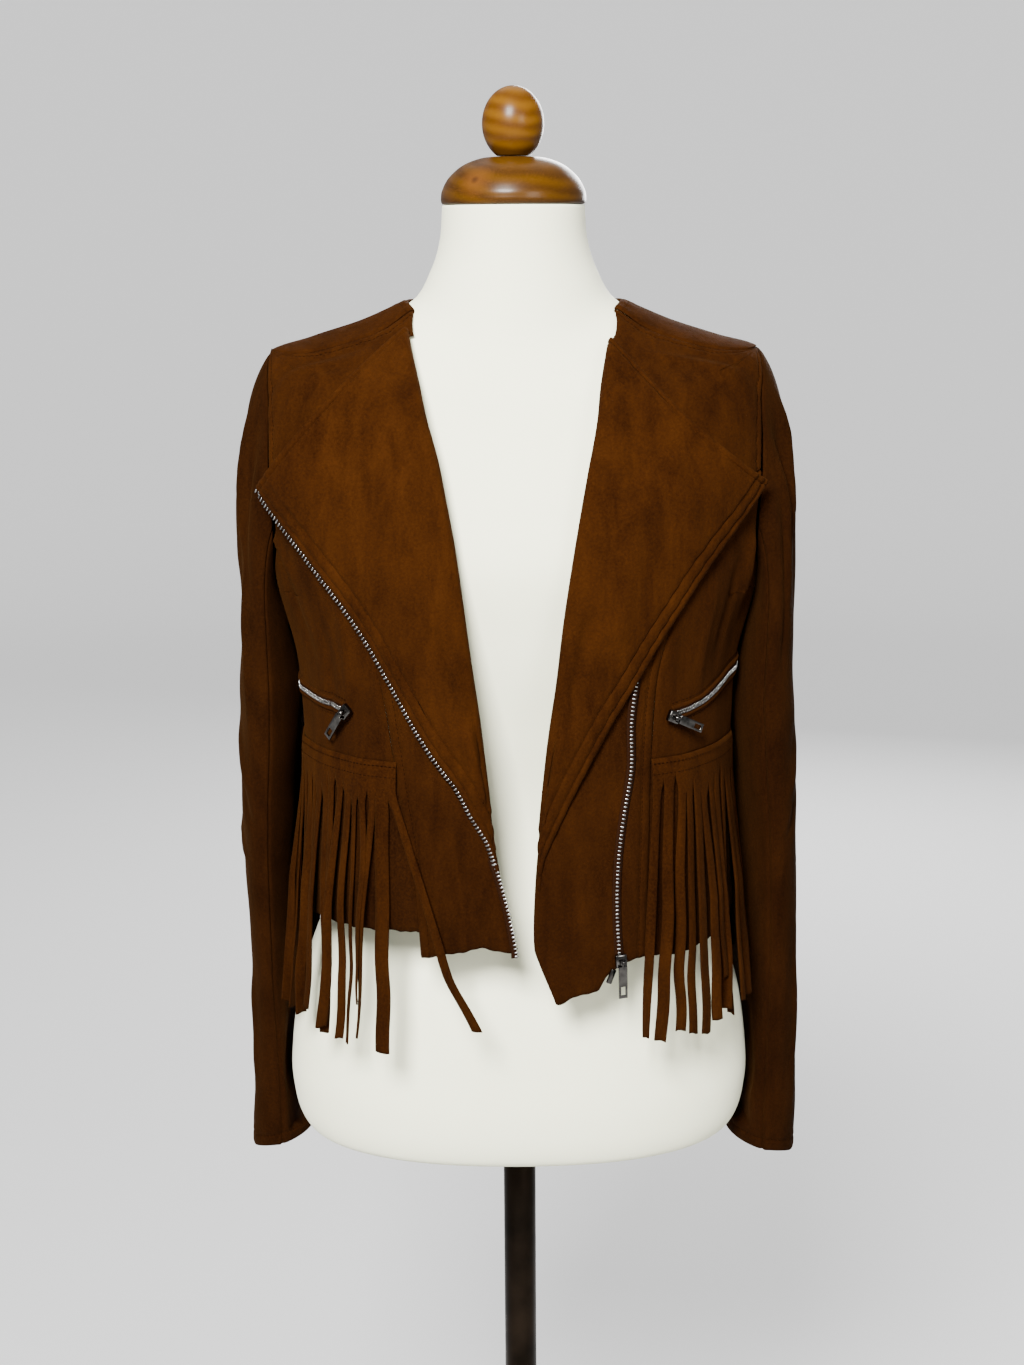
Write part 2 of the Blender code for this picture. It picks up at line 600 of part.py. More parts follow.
def slider_frame(name):
    """An empty on the pull's axis: X along the axis, Y out of the cloth, -Z along the pull."""
    x, z, tab_x, tab_z = SLIDERS[name]
    turn, level = locate(x, z)
    out = ZIP_RISE[name] + TEETH_THICK + SLIDER_GAP + SLIDER_SIZE[1] / 2 + PIN_HEIGHT
    origin = Vector(on_jacket(turn, level, out)) * MM
    normal = Vector(outward(JACKET_SECTIONS, turn, level))
    tab = Vector((tab_x, 0, tab_z))
    down = (tab - tab.dot(normal) * normal).normalized()
    axis = normal.cross(-down).normalized()
    frame = bpy.data.objects.new(f"frame_{name}", None)
    parts.objects.link(frame)
    turned = Matrix((axis, normal, -down)).transposed().to_4x4()
    frame.matrix_world = Matrix.Translation(origin) @ turned
    return frame


def add_slider(name, metal):
    """A slider with two lugs and a pin, and the pull tab that swings on the pin."""
    frame = slider_frame(name)
    wide, deep, tall = SLIDER_SIZE
    drop = -PIN_HEIGHT
    body = new_object(f"slider_{name}", box_mesh(f"slider_{name}", SLIDER_SIZE, (0, drop, 0)), metal)
    body.parent = frame
    bevel = body.modifiers.new("Rounded", "BEVEL")
    bevel.width = 1.2 * MM
    bevel.segments = 2
    lug_height = PIN_HEIGHT - deep / 2 + 2.0
    for label, hand in (("a", -1), ("b", 1)):
        centre = (hand * (LUG_SPREAD - LUG_THICK) / 2, -lug_height / 2 + 1.2, 0)
        lug = box_mesh(f"lug_{name}_{label}", (LUG_THICK, lug_height, 3.0), centre)
        boolean(body, add_tool(lug, frame), "UNION")
    pin = rod_mesh(f"pin_{name}", PIN_RADIUS, LUG_SPREAD - 0.4, (0, 0, 0))
    boolean(body, add_tool(pin, frame), "UNION")
    pull_width, pull_thick, pull_length = PULL_SIZE
    plate_top = -3.4
    plate = box_mesh(f"pull_{name}", PULL_SIZE, (0, 0, plate_top - pull_length / 2))
    pull = new_object(f"pull_{name}", plate, metal)
    pull.parent = frame
    pull.rotation_euler = (-math.radians(PULL_LEAN), 0, 0)
    neck = box_mesh(f"neck_{name}", (EYE_WIDTH, pull_thick, 4.2), (0, 0, -3.2))
    eye = rod_mesh(f"eye_{name}", EYE_OUTER, EYE_WIDTH, (0, 0, 0))
    boolean(pull, add_tool(neck, pull), "UNION")
    boolean(pull, add_tool(eye, pull), "UNION")
    hole = rod_mesh(f"hole_{name}", EYE_INNER, EYE_WIDTH + 2, (0, 0, 0))
    boolean(pull, add_tool(hole, pull), "DIFFERENCE")
    window = (PULL_WINDOW[0], pull_thick + 2, PULL_WINDOW[1])
    gap = box_mesh(f"window_{name}", window, (0, 0, plate_top - pull_length + 2.2 + window[2] / 2))
    boolean(pull, add_tool(gap, pull), "DIFFERENCE")


def add_zip_box(metal):
    """The end box of the left front's zip, just below the slider and leaning from it."""
    x, z, _, _ = SLIDERS["main"]
    turn, level = locate(x - 6, z - 12)
    out = REST_GAP + 1.2
    box = new_object("zip_box", box_mesh("zip_box", (4.0, 2.4, 11.0), (0, 0, 0)), metal)
    box.location = Vector(on_jacket(turn, level, out)) * MM
    box.rotation_euler = (0, math.radians(22), math.radians(float(turn)))
    bevel = box.modifiers.new("Rounded", "BEVEL")
    bevel.width = 0.6 * MM
    bevel.segments = 2


def add_turned(name, profile, material, steps=36):
    """A turned piece: a profile of radius and height, from the axis down the outer side."""
    mesh = bpy.data.meshes.new(name)
    points = [(radius * MM, 0, z * MM) for radius, z in profile]
    mesh.from_pydata(points, [(k, k + 1) for k in range(len(points) - 1)], [])
    thing = new_object(name, mesh, material)
    screw = thing.modifiers.new("Turned", "SCREW")
    screw.steps = steps
    screw.render_steps = steps
    screw.use_merge_vertices = True
    screw.merge_threshold = 0.0001
    return thing


def add_torso(jersey):
    """The form's padded torso and neck, one smooth body with a socket for the pole."""
    columns = 40
    levels = np.arange(len(FORM_SECTIONS))[:, None]
    turns = np.arange(columns) * 360 / columns
    grid = section_point(FORM_SECTIONS, turns, levels)
    rows = len(FORM_SECTIONS)
    first = np.arange(rows - 1)[:, None] * columns + np.arange(columns)
    second = np.arange(rows - 1)[:, None] * columns + (np.arange(columns) + 1) % columns
    quads = np.stack([first, second, second + columns, first + columns], -1).reshape(-1, 4).tolist()
    bottom = list(range(columns))[::-1]
    top = [(rows - 1) * columns + k for k in range(columns)]
    mesh = bpy.data.meshes.new("torso")
    mesh.from_pydata((grid.reshape(-1, 3) * MM).tolist(), [], quads + [bottom, top])
    mesh.shade_smooth()
    torso = new_object("torso", mesh, jersey)
    depth = POLE_DEPTH_IN_FORM + 1 + FIT
    middle = (0, 0, FORM_BOTTOM - 1 + depth / 2)
    socket = rod_mesh("pole_socket", POLE_RADIUS + FIT, depth, middle, (0, 0), 48)
    boolean(torso, add_tool(socket, None), "DIFFERENCE")


def add_stand(wood, bronze):
    """Neck cap, finial, pole and base."""
    cap_top = NECK_TOP + 34.5
    add_turned("neck_cap", [(0, cap_top), (24, cap_top - 1.5), (37, cap_top - 6.5),
                            (47, cap_top - 15), (52, cap_top - 24), (53, cap_top - 30),
                            (52, NECK_TOP + FIT), (0, NECK_TOP + FIT)], wood)
    foot = cap_top + FIT
    centre, radius = foot + 22.5, 22.5
    arc = [math.radians(angle) for angle in range(0, 148, 12)]
    ball = [(radius * math.sin(a), centre + 26.5 * math.cos(a)) for a in arc]
    add_turned("finial", ball + [(12, foot), (0, foot)], wood)
    pole_top = FORM_BOTTOM + POLE_DEPTH_IN_FORM
    pole_foot = BASE_THICK + FIT
    middle = (0, 0, (pole_top + pole_foot) / 2)
    pole = rod_mesh("pole", POLE_RADIUS, pole_top - pole_foot, middle, (0, 0), 48)
    new_object("pole", pole, bronze)
    bore = POLE_RADIUS + FIT
    add_turned("base", [(0, BASE_THICK), (bore, BASE_THICK), (bore, COLLAR_TOP),
                        (COLLAR_RADIUS, COLLAR_TOP), (COLLAR_RADIUS, BASE_THICK + 4), (COLLAR_RADIUS + 4, BASE_THICK),
                        (BASE_RADIUS - 3, BASE_THICK), (BASE_RADIUS, BASE_THICK - 3),
                        (BASE_RADIUS, 0), (0, 0)], bronze, 64)


def new_material(name, colour, roughness, metallic):
    """A plain Principled material."""
    material = bpy.data.materials.new(name)
    material.use_nodes = True
    shader = material.node_tree.nodes["Principled BSDF"]
    shader.inputs["Base Color"].default_value = (*colour, 1)
    shader.inputs["Roughness"].default_value = roughness
    shader.inputs["Metallic"].default_value = metallic
    return material


for old in list(bpy.data.objects):
    bpy.data.objects.remove(old, do_unlink=True)
parts = bpy.data.collections.new("suede_jacket")
cutters = bpy.data.collections.new("cutters")
bpy.context.scene.collection.children.link(parts)
bpy.context.scene.collection.children.link(cutters)

suede = new_material("suede", (0.13, 0.045, 0.012), 0.95, 0)
jersey = new_material("jersey", (0.78, 0.76, 0.70), 0.9, 0)
wood = new_material("varnished_wood", (0.42, 0.22, 0.07), 0.35, 0)
bronze = new_material("bronze_finish", (0.03, 0.025, 0.02), 0.4, 1)
metal = new_material("zip_metal", (0.45, 0.44, 0.42), 0.3, 1)

for name, side in SIDES.items():
    front_panels(name, side, suede)
    add_lapel(name, side, suede)
    add_sleeve(name, side, suede)
back_panels(suede)
fringes(suede)
zips(metal)
for slider in SLIDERS:
    add_slider(slider, metal)
add_zip_box(metal)
add_torso(jersey)
add_stand(wood, bronze)
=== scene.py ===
# %% [markdown]
# # A suede jacket on a dress form
# The jacket is cut from thin soft leather with a brushed face, so all of it is sheets: fronts, lapels,
# yoke, back, sleeves and a slit fringe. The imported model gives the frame; every sheet here is worked
# out again as a fine surface on the same body shape, and stands for its plain solid.

# %% Frame
import math

import bmesh
import bpy
import numpy as np
from mathutils import Matrix, Vector


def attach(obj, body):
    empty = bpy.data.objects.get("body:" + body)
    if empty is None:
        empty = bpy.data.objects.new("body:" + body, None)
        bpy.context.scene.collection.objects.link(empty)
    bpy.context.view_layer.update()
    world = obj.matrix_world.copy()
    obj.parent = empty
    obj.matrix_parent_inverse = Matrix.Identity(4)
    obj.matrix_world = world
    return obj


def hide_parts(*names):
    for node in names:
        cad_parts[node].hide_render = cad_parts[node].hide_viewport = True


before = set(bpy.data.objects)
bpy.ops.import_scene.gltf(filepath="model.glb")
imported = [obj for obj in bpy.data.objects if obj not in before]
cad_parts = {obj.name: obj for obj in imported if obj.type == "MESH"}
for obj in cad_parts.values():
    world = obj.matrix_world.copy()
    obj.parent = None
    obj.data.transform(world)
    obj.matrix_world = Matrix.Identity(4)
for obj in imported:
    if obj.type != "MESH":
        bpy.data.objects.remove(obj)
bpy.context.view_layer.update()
MM = 0.001
BODY = "jacket_on_form"
SIDES = {"right": -1, "left": 1}

# %% [markdown]
# ## Camera
# The jacket is seen from just above the neck, close by, so the form's hips are seen from above and the
# shoulders almost level. A camera is a place, a direction and a focal length; here the direction comes
# from one tilt, and the place lies back from a point on the form's axis.

# %% Camera
CAMERA_TILT = math.radians(13)
CAMERA_ROLL = math.radians(-0.4)
CAMERA_DISTANCE = 1.5
CAMERA_TARGET = Vector((-0.0035, 0, 0.98))
SENSOR, LENS = 36.0, 51.3758
camera = bpy.data.objects.new("camera", bpy.data.cameras.new("camera"))
bpy.context.scene.collection.objects.link(camera)
ahead = Vector((0, math.cos(CAMERA_TILT), -math.sin(CAMERA_TILT)))
camera.location = CAMERA_TARGET - CAMERA_DISTANCE * ahead
level_camera = ahead.to_track_quat("-Z", "Y")
camera.rotation_mode = "QUATERNION"
camera.rotation_quaternion = level_camera @ Matrix.Rotation(CAMERA_ROLL, 3, "Z").to_quaternion()
camera.data.sensor_width = SENSOR
camera.data.lens = LENS
bpy.context.scene.camera = camera
print("camera at", [round(v, 3) for v in camera.location])

# %% [markdown]
# ## Studio
# A pale floor that sweeps up all round the stand, and soft light from large panels: a strong key in front
# and above on the left, a weak fill on the right, a faint one above and one behind, so that the back can be
# seen too, and an even pale surround. Floor and wall could be a plane and a box, but a bowl shows no corner
# from any side. Its glow is seen only by the camera, so it brightens the picture and lights nothing.

# %% Node helpers


def node(tree, kind, **settings):
    """A node with its properties set."""
    made = tree.nodes.new(kind)
    for key, value in settings.items():
        setattr(made, key, value)
    return made


def arithmetic(tree, operation, first, second):
    """One Math node; each input is a number or another node's output."""
    made = node(tree, "ShaderNodeMath", operation=operation)
    for socket, value in zip(made.inputs, (first, second)):
        if isinstance(value, (int, float)):
            socket.default_value = value
        else:
            tree.links.new(value, socket)
    return made.outputs[0]


def remap(tree, value, low, high, to_low=0.0, to_high=1.0):
    """Stretches a value from one range to another, and clamps it."""
    made = node(tree, "ShaderNodeMapRange")
    for key, number in (("From Min", low), ("From Max", high), ("To Min", to_low), ("To Max", to_high)):
        made.inputs[key].default_value = number
    tree.links.new(value, made.inputs["Value"])
    return made.outputs["Result"]


print("node helpers: a node, a sum or product, a stretched range")

# %% Mesh helpers


def grid_faces(rows, columns, wrap=False):
    """Quads of a grid of points; `wrap` joins its last column to its first."""
    ends = columns if wrap else columns - 1
    row = np.arange(rows - 1)[:, None] * columns
    left = np.arange(ends)
    right = (left + 1) % columns
    quads = np.stack([row + left, row + right, row + right + columns, row + left + columns], -1)
    return quads.reshape(-1, 4)


def mesh_from(name, points, faces, smooth=True):
    """A mesh from an array of points in metres and an array or list of faces."""
    mesh = bpy.data.meshes.new(name)
    corners = [list(map(int, f)) for f in faces]
    mesh.from_pydata(np.asarray(points, float).reshape(-1, 3).tolist(), [], corners)
    if smooth:
        mesh.shade_smooth()
    mesh.validate()
    thing = bpy.data.objects.new(name, mesh)
    bpy.context.scene.collection.objects.link(thing)
    return thing


print("mesh helpers: faces of a grid, a mesh from points")

# %% Backdrop
FLOOR_RADIUS, SWEEP_RADIUS, WALL_HEIGHT = 5.0, 2.0, 7.0
FLOOR_GREY, FLOOR_ROUGHNESS = 0.42, 0.9
# distances in metres between which the glow grows, and the glow at both
GLOW_FROM, GLOW_TO, NEAR_GLOW, FAR_GLOW = 1.5, 6.0, 0.46, 0.74


def sweep_backdrop():
    """A pale bowl: a flat floor, then a quarter circle (radius plus sine, height less cosine), and a wall."""
    turn = np.linspace(0, math.pi / 2, 24)
    rim = FLOOR_RADIUS + SWEEP_RADIUS
    radius = np.concatenate([[0.001, 1, 3], FLOOR_RADIUS + SWEEP_RADIUS * np.sin(turn), [rim]])[:, None]
    z = np.concatenate([[0, 0, 0], SWEEP_RADIUS - SWEEP_RADIUS * np.cos(turn), [WALL_HEIGHT]])[:, None]
    angle = np.linspace(0, 2 * math.pi, 96, endpoint=False)
    points = np.stack([radius * np.cos(angle), radius * np.sin(angle), z + 0 * angle], -1)
    return mesh_from("backdrop", points, grid_faces(len(z), len(angle), wrap=True)[:, ::-1])


def floor_material():
    """One pale grey, with a glow that grows away from the middle and that only the camera sees."""
    material = bpy.data.materials.new("pale_floor")
    material.use_nodes = True
    tree = material.node_tree
    shader = tree.nodes["Principled BSDF"]
    shader.inputs["Base Color"].default_value = (FLOOR_GREY, FLOOR_GREY, FLOOR_GREY, 1)
    shader.inputs["Roughness"].default_value = FLOOR_ROUGHNESS
    shader.inputs["Emission Color"].default_value = (1, 1, 1, 1)
    seen = node(tree, "ShaderNodeLightPath").outputs["Is Camera Ray"]
    away = node(tree, "ShaderNodeVectorMath", operation="LENGTH")
    tree.links.new(node(tree, "ShaderNodeTexCoord").outputs["Object"], away.inputs[0])
    glow = remap(tree, away.outputs["Value"], GLOW_FROM, GLOW_TO, NEAR_GLOW, FAR_GLOW)
    tree.links.new(arithmetic(tree, "MULTIPLY", seen, glow), shader.inputs["Emission Strength"])
    return material


backdrop = sweep_backdrop()
backdrop.data.materials.append(floor_material())
print("backdrop: a bowl", 2 * (FLOOR_RADIUS + SWEEP_RADIUS), "m across")

# %% Lights
# place, the point looked at, size in metres and power in watts
LIGHTS = {
    "key": ((-0.7, -2.6, 3.0), (0, 0, 1.05), 1.0, 500),
    "fill": ((1.7, -2.8, 2.0), (0, 0, 0.95), 1.2, 50),
    "top": ((0.0, 1.6, 3.6), (0, 0, 1.0), 2.2, 14),
    "back": ((0.9, 3.1, 1.9), (0, 0, 1.0), 1.6, 150),
}
SURROUND_COLOUR, SURROUND_STRENGTH = (0.86, 0.87, 0.88, 1), 0.25


def area_light(name, place, aim, size, power):
    """A square soft light at a place, turned to look at a point."""
    light = bpy.data.lights.new(name, "AREA")
    light.shape = "SQUARE"
    light.size = size
    light.energy = power
    lamp = bpy.data.objects.new(name, light)
    bpy.context.scene.collection.objects.link(lamp)
    lamp.location = place
    lamp.rotation_mode = "QUATERNION"
    lamp.rotation_quaternion = (Vector(aim) - Vector(place)).to_track_quat("-Z", "Y")
    return lamp


for light_name, settings in LIGHTS.items():
    area_light(light_name, *settings)
world = bpy.data.worlds.new("surround")
world.use_nodes = True
world.node_tree.nodes["Background"].inputs["Color"].default_value = SURROUND_COLOUR
world.node_tree.nodes["Background"].inputs["Strength"].default_value = SURROUND_STRENGTH
bpy.context.scene.world = world
print("studio:", len(LIGHTS), "soft lights")

# %% [markdown]
# ## The body as one skin
# A tailor reads a body as girths at heights. So does this script: each row is one section with its half
# width, its depth at the front and back and how square it is, and a curve joins the rows. A place on
# the skin is then a turn (0 at the front, 90 at the wearer's left) and a level, and panels are simply
# stretches of turn and level between seams.

# %% Sections
# half_width, z_side, front, z_front, back, z_back, power   (millimetres)
FORM_SECTIONS = [
    (150, 620, 84, 620, 92, 620, 2.2), (166, 624, 98, 624, 107, 624, 2.3),
    (175, 635, 105, 635, 115, 635, 2.3), (180, 655, 109, 655, 119, 655, 2.3),
    (181, 685, 110, 685, 120, 685, 2.3), (172, 745, 107, 745, 114, 745, 2.3),
    (146, 820, 96, 820, 98, 820, 2.3), (125, 895, 86, 895, 84, 895, 2.3),
    (131, 960, 95, 960, 86, 960, 2.3), (143, 1030, 112, 1030, 92, 1030, 2.3),
    (151, 1085, 121, 1085, 98, 1085, 2.3), (160, 1130, 113, 1127, 100, 1130, 2.3),
    (168, 1170, 102, 1158, 97, 1165, 2.3), (166, 1205, 92, 1180, 89, 1192, 2.25),
    (144, 1236.2, 82, 1202, 79, 1218, 2.1), (108, 1253.2, 73, 1219, 69, 1244, 2.0),
    (75, 1269.2, 64, 1243, 58, 1264, 2.0), (61, 1291, 57, 1279, 54, 1289, 2.0),
    (54, 1313, 53, 1309, 51, 1312, 2.0), (52, 1337, 51, 1337, 50, 1337, 2.0),
]
JACKET_SECTIONS = [
    (173, 740, 152, 740, 124, 740, 2.5), (170, 780, 150, 780, 122, 780, 2.5),
    (167, 817, 148, 817, 120, 817, 2.5), (164, 880, 145, 880, 114, 880, 2.5),
    (162, 950, 140, 950, 109, 950, 2.5), (164, 1010, 138, 1010, 108, 1010, 2.5),
    (181, 1075, 135, 1072, 110, 1075, 2.5), (190, 1115, 130, 1108, 111, 1115, 2.5),
    (196, 1155, 124, 1138, 109, 1150, 2.5), (194, 1197, 115, 1165, 105, 1180, 2.4),
    (184, 1231, 105, 1190, 98, 1205, 2.25), (150, 1244, 94, 1206, 88, 1228, 2.1),
    (112, 1256, 84, 1222, 76, 1252, 2.0), (77, 1271, 72, 1238, 62, 1275, 2.0),
]


def smooth_rows(table, position):
    """Catmull-Rom: a cubic through each pair of rows, with slopes from the rows on either side."""
    rows = np.asarray(table, float)
    last = len(rows) - 1
    position = np.clip(np.asarray(position, float), 0, last)
    index = np.minimum(position.astype(int), last - 1)
    part = (position - index)[..., None]
    around = np.vstack([2 * rows[0] - rows[1], rows, 2 * rows[-1] - rows[-2]])
    before, start, end, after = (around[index + k] for k in range(4))
    linear = (end - before) * part
    square = (2 * before - 5 * start + 4 * end - after) * part ** 2
    cube = (3 * start - before - 3 * end + after) * part ** 3
    return 0.5 * (2 * start + linear + square + cube)


def section_point(sections, turn, level):
    """Superellipse: x is the half width times a power of sine, y the depth times a power of cosine."""
    turn, level = np.broadcast_arrays(np.radians(turn), np.asarray(level, float))
    half_width, z_side, front, z_front, back, z_back, power = np.moveaxis(smooth_rows(sections, level), -1, 0)
    sine, cosine = np.sin(turn), np.cos(turn)
    ahead = cosine > 0
    x = half_width * np.sign(sine) * np.abs(sine) ** (2 / power)
    y = np.where(ahead, -front, back) * np.abs(cosine) ** (2 / power)
    z = z_side + (np.where(ahead, z_front, z_back) - z_side) * cosine ** 2
    return np.stack([x, y, z], -1)


def unit(vectors):
    """Vectors divided by their lengths."""
    return vectors / np.maximum(np.linalg.norm(vectors, axis=-1, keepdims=True), 1e-9)


def outward(sections, turn, level):
    """The skin's normal: the cross product of a small step in turn and one in level."""
    around = section_point(sections, turn + 0.2, level) - section_point(sections, turn - 0.2, level)
    up = section_point(sections, turn, level + 0.03) - section_point(sections, turn, level - 0.03)
    return unit(np.cross(around, up))


print("form and jacket sections:", len(FORM_SECTIONS), "and", len(JACKET_SECTIONS), "rows")

# %% [markdown]
# ## Folds
# Soft leather doesn't crease sharply: it makes shallow troughs and ridges where it is loose and where
# the sleeves pull on it. Each is a bell-shaped ridge along a short line on the skin, given one by one,
# with its own length, width and depth. The big ones are in the solids as well.

# %% Folds
# turn, half width in degrees, middle level, half height in levels, depth in millimetres
BODY_FOLDS = [
    (-74, 5, 5.0, 1.3, 3.0), (-38, 5, 3.0, 1.8, 2.5), (42, 5, 2.8, 1.8, 2.5), (76, 5, 5.2, 1.3, 3.5),
    (125, 8, 4.5, 2.5, 4.0), (152, 7, 3.0, 2.0, 3.0), (205, 7, 3.4, 2.2, 3.0), (236, 8, 4.5, 2.5, 4.0),
]
# turn and level at each end, half width in degrees, depth in millimetres
CREASES = [
    (-44, 4.6, -39, 6.0, 2.2, 1.3), (-52, 4.4, -50, 5.6, 2.0, -1.0), (-33, 4.4, -31, 5.3, 1.8, 0.9),
    (-60, 5.0, -66, 6.6, 2.4, -1.6), (-57, 5.9, -68, 6.9, 2.0, 1.6), (-12, 2.1, -17, 3.2, 2.6, 1.2),
    (-8, 2.3, -14, 3.6, 2.0, -1.0), (50, 4.7, 47, 6.1, 2.2, 1.5), (58, 4.9, 57, 6.4, 2.0, -1.4),
    (66, 5.6, 60, 7.0, 2.4, 2.4), (72, 5.4, 66, 6.7, 2.0, -2.2), (42, 4.5, 40, 5.6, 1.8, -0.9),
    (11, 2.2, 9, 3.4, 2.4, -1.3), (110, 5.2, 118, 7.2, 3.0, 2.2), (118, 4.8, 126, 6.8, 3.0, -1.8),
    (250, 5.2, 242, 7.2, 3.0, 2.2), (243, 4.8, 234, 6.8, 3.0, -1.8), (140, 8.8, 150, 9.8, 5, 1.2),
    (222, 8.8, 211, 9.8, 5, 1.2), (-62, 9.0, -50, 11.4, 2.6, 1.3), (-66, 9.2, -55, 11.8, 2.2, -1.0),
    (-58, 8.7, -46, 10.8, 2.2, 1.0), (60, 9.4, 47, 11.6, 2.6, 1.2), (67, 8.9, 56, 11.2, 2.2, -1.0),
    (172, 3.2, 168, 6.0, 4, 1.4), (190, 3.8, 193, 6.2, 4, -1.2),
]
# how much deeper than its listed depth each crease is made
CREASE_GAIN, SLEEVE_CREASE_GAIN = 1.9, 2.2


def fold_height(turn, level, creases=True):
    """The sum of the folds. Each is a bell across its line, and the fourth power of the place along it,
    counted from the middle, fades it out at both its ends."""
    turn, level = np.broadcast_arrays(np.asarray(turn, float), np.asarray(level, float))
    height = np.zeros(turn.shape)
    for middle, half_turn, middle_level, half_level, depth in BODY_FOLDS:
        away = (turn - middle + 180) % 360 - 180
        height += depth * np.exp(-(away / half_turn) ** 2 - ((level - middle_level) / half_level) ** 2)
    if creases:
        for turn_a, level_a, turn_b, level_b, width, depth in CREASES:
            share = (level - level_a) / (level_b - level_a)
            away = (turn - (turn_a + (turn_b - turn_a) * share) + 180) % 360 - 180
            height += CREASE_GAIN * depth * np.exp(-(away / width) ** 2 - (np.abs(share - 0.5) / 0.42) ** 4)
    return height


def unevenness(points, size, seed):
    """Gentle lumps: sine waves that cross at odd angles, each about `size` millimetres long, summed and
    divided by the root of their number."""
    random = np.random.default_rng(seed)
    waves = 7
    directions = unit(random.normal(size=(waves, 3)))
    lengths = size * random.uniform(0.7, 1.6, waves)
    shifts = random.uniform(0, 2 * math.pi, waves)
    heights = np.sin(points @ directions.T * (2 * math.pi / lengths) + shifts)
    return heights.sum(-1) / waves ** 0.5


def on_jacket(turn, level, out=0.0, creases=True):
    """The jacket's skin moved out along its normal by `out` and by the folds."""
    turn, level, out = np.broadcast_arrays(np.asarray(turn, float), level, out)
    level = np.clip(level, 0.04, len(JACKET_SECTIONS) - 1.04)
    reach = (out + fold_height(turn, level, creases))[..., None]
    return section_point(JACKET_SECTIONS, turn, level) + reach * outward(JACKET_SECTIONS, turn, level)


print("folds:", len(BODY_FOLDS), "large,", len(CREASES), "small")

# %% [markdown]
# ## Seams
# The front edges and seams are given as a tailor measures them, by distance from the centre line and
# height. A search by halving turns such a place into a turn and a level.

# %% Seams
# levels of the seams that run round the body
HEM, FRINGE_SEAM, BACK_YOKE_SEAM, NECK_EDGE = 2.0, 4.0, 8.569, 12.95
ARMHOLE_LEVEL, ARMHOLE_HALF_HEIGHT, ARMHOLE_HALF_TURN, ARMHOLE_POWER = 8.0, 2.2, 28.0, 2.3
CROWN = ARMHOLE_LEVEL + ARMHOLE_HALF_HEIGHT
UNDERARM = ARMHOLE_LEVEL - ARMHOLE_HALF_HEIGHT
# distance from the centre line and height of each point, from the hem up (millimetres)
FRONT_EDGE = {
    "right": [(3, 816), (7, 841), (12, 869), (17, 898), (20, 930), (24, 965), (31, 1026),
              (45, 1121), (55, 1171), (67, 1217), (76, 1248)],
    "left": [(27, 776), (18, 803), (11, 819), (12, 869), (16, 917), (22, 979), (30, 1041),
             (43, 1121), (52, 1170), (60, 1210), (66, 1243)],
}
PRINCESS_SEAM = {
    "right": [(70, 809), (74, 860), (89, 956), (99, 1020), (122, 1078), (150, 1118), (176, 1151)],
    "left": [(92, 806), (94, 880), (96, 952), (102, 1020), (122, 1078), (150, 1118), (176, 1151)],
}


def locate(x, z):
    """Turn and level of the front's point with this x and z: halve the level range until z agrees."""
    x, z = np.broadcast_arrays(np.asarray(x, float), np.asarray(z, float))
    low, high = np.zeros(x.shape), np.full(x.shape, len(JACKET_SECTIONS) - 1.0)
    for _ in range(32):
        level = (low + high) / 2
        row = smooth_rows(JACKET_SECTIONS, level)
        share = np.clip(np.abs(x) / row[..., 0], 0, 1) ** (row[..., 6] / 2)
        turn = np.degrees(np.arcsin(share)) * np.sign(x)
        below = section_point(JACKET_SECTIONS, turn, level)[..., 2] < z
        low, high = np.where(below, level, low), np.where(below, high, level)
    return turn, level


def seam_turn(points, side, level):
    """The turn of a seam at each level."""
    along = smooth_rows(points, np.linspace(0, len(points) - 1, 12 * len(points)))
    turn, at_level = locate(along[:, 0] * side, along[:, 1])
    order = np.argsort(at_level)
    return np.interp(level, at_level[order], turn[order])


def armhole_reach(level):
    """Degrees from the armhole's middle to its edge: a rounded loop in turn and level."""
    share = np.clip(np.abs(level - ARMHOLE_LEVEL) / ARMHOLE_HALF_HEIGHT, 0, 1)
    return ARMHOLE_HALF_TURN * (1 - share ** ARMHOLE_POWER) ** (1 / ARMHOLE_POWER)


def yoke_seam_turn(level):
    """The forward shoulder seam, from the armhole's crown to the neck."""
    levels = [10.2, 10.3, 10.45, 10.7, 11.2, 11.8, 12.3, 12.95]
    turns = [86, 77, 71, 67, 64.5, 63, 63.5, 68]
    return np.interp(level, levels, turns)


def princess_turn(name, side, level):
    """The princess seam, which ends at the middle of the armhole's front."""
    limit = 90 - np.where(level < UNDERARM - 0.01, 0, armhole_reach(level)) - 2.5
    return side * np.minimum(np.abs(seam_turn(PRINCESS_SEAM[name], side, level)), limit)


def hem_level(name, turn):
    """The hem's level by turn: a small dip on the right, a long corner on the left front."""
    if name == "side_right":
        return np.interp(turn, [-90, -60, -26], [2.0, 2.1, 2.2])
    if name == "right":
        return np.interp(np.abs(turn), [0, 6, 14, 25, 90], [1.96, 2.03, 1.9, 1.76, 2.0])
    if name == "left":
        return np.interp(turn, [1.9, 3.4, 5.7, 7.2, 9.2, 15, 17.3, 21.6, 28.8, 39.6, 90],
                         [2.0, 1.55, 0.88, 0.92, 1.02, 1.14, 1.45, 1.7, 1.78, 1.7, 1.95])
    return np.full(np.shape(turn), HEM)


def neck_level(turn):
    """The neckline's level by turn: it falls toward the front, so its edge stands straight up."""
    away = 180 - np.abs((np.asarray(turn, float) % 360) - 180)
    return np.interp(away, [42, 48, 53.3, 60.3, 68], [12.3, 12.42, 12.58, 12.77, 12.95])


print("armhole from level", UNDERARM, "to", CROWN)
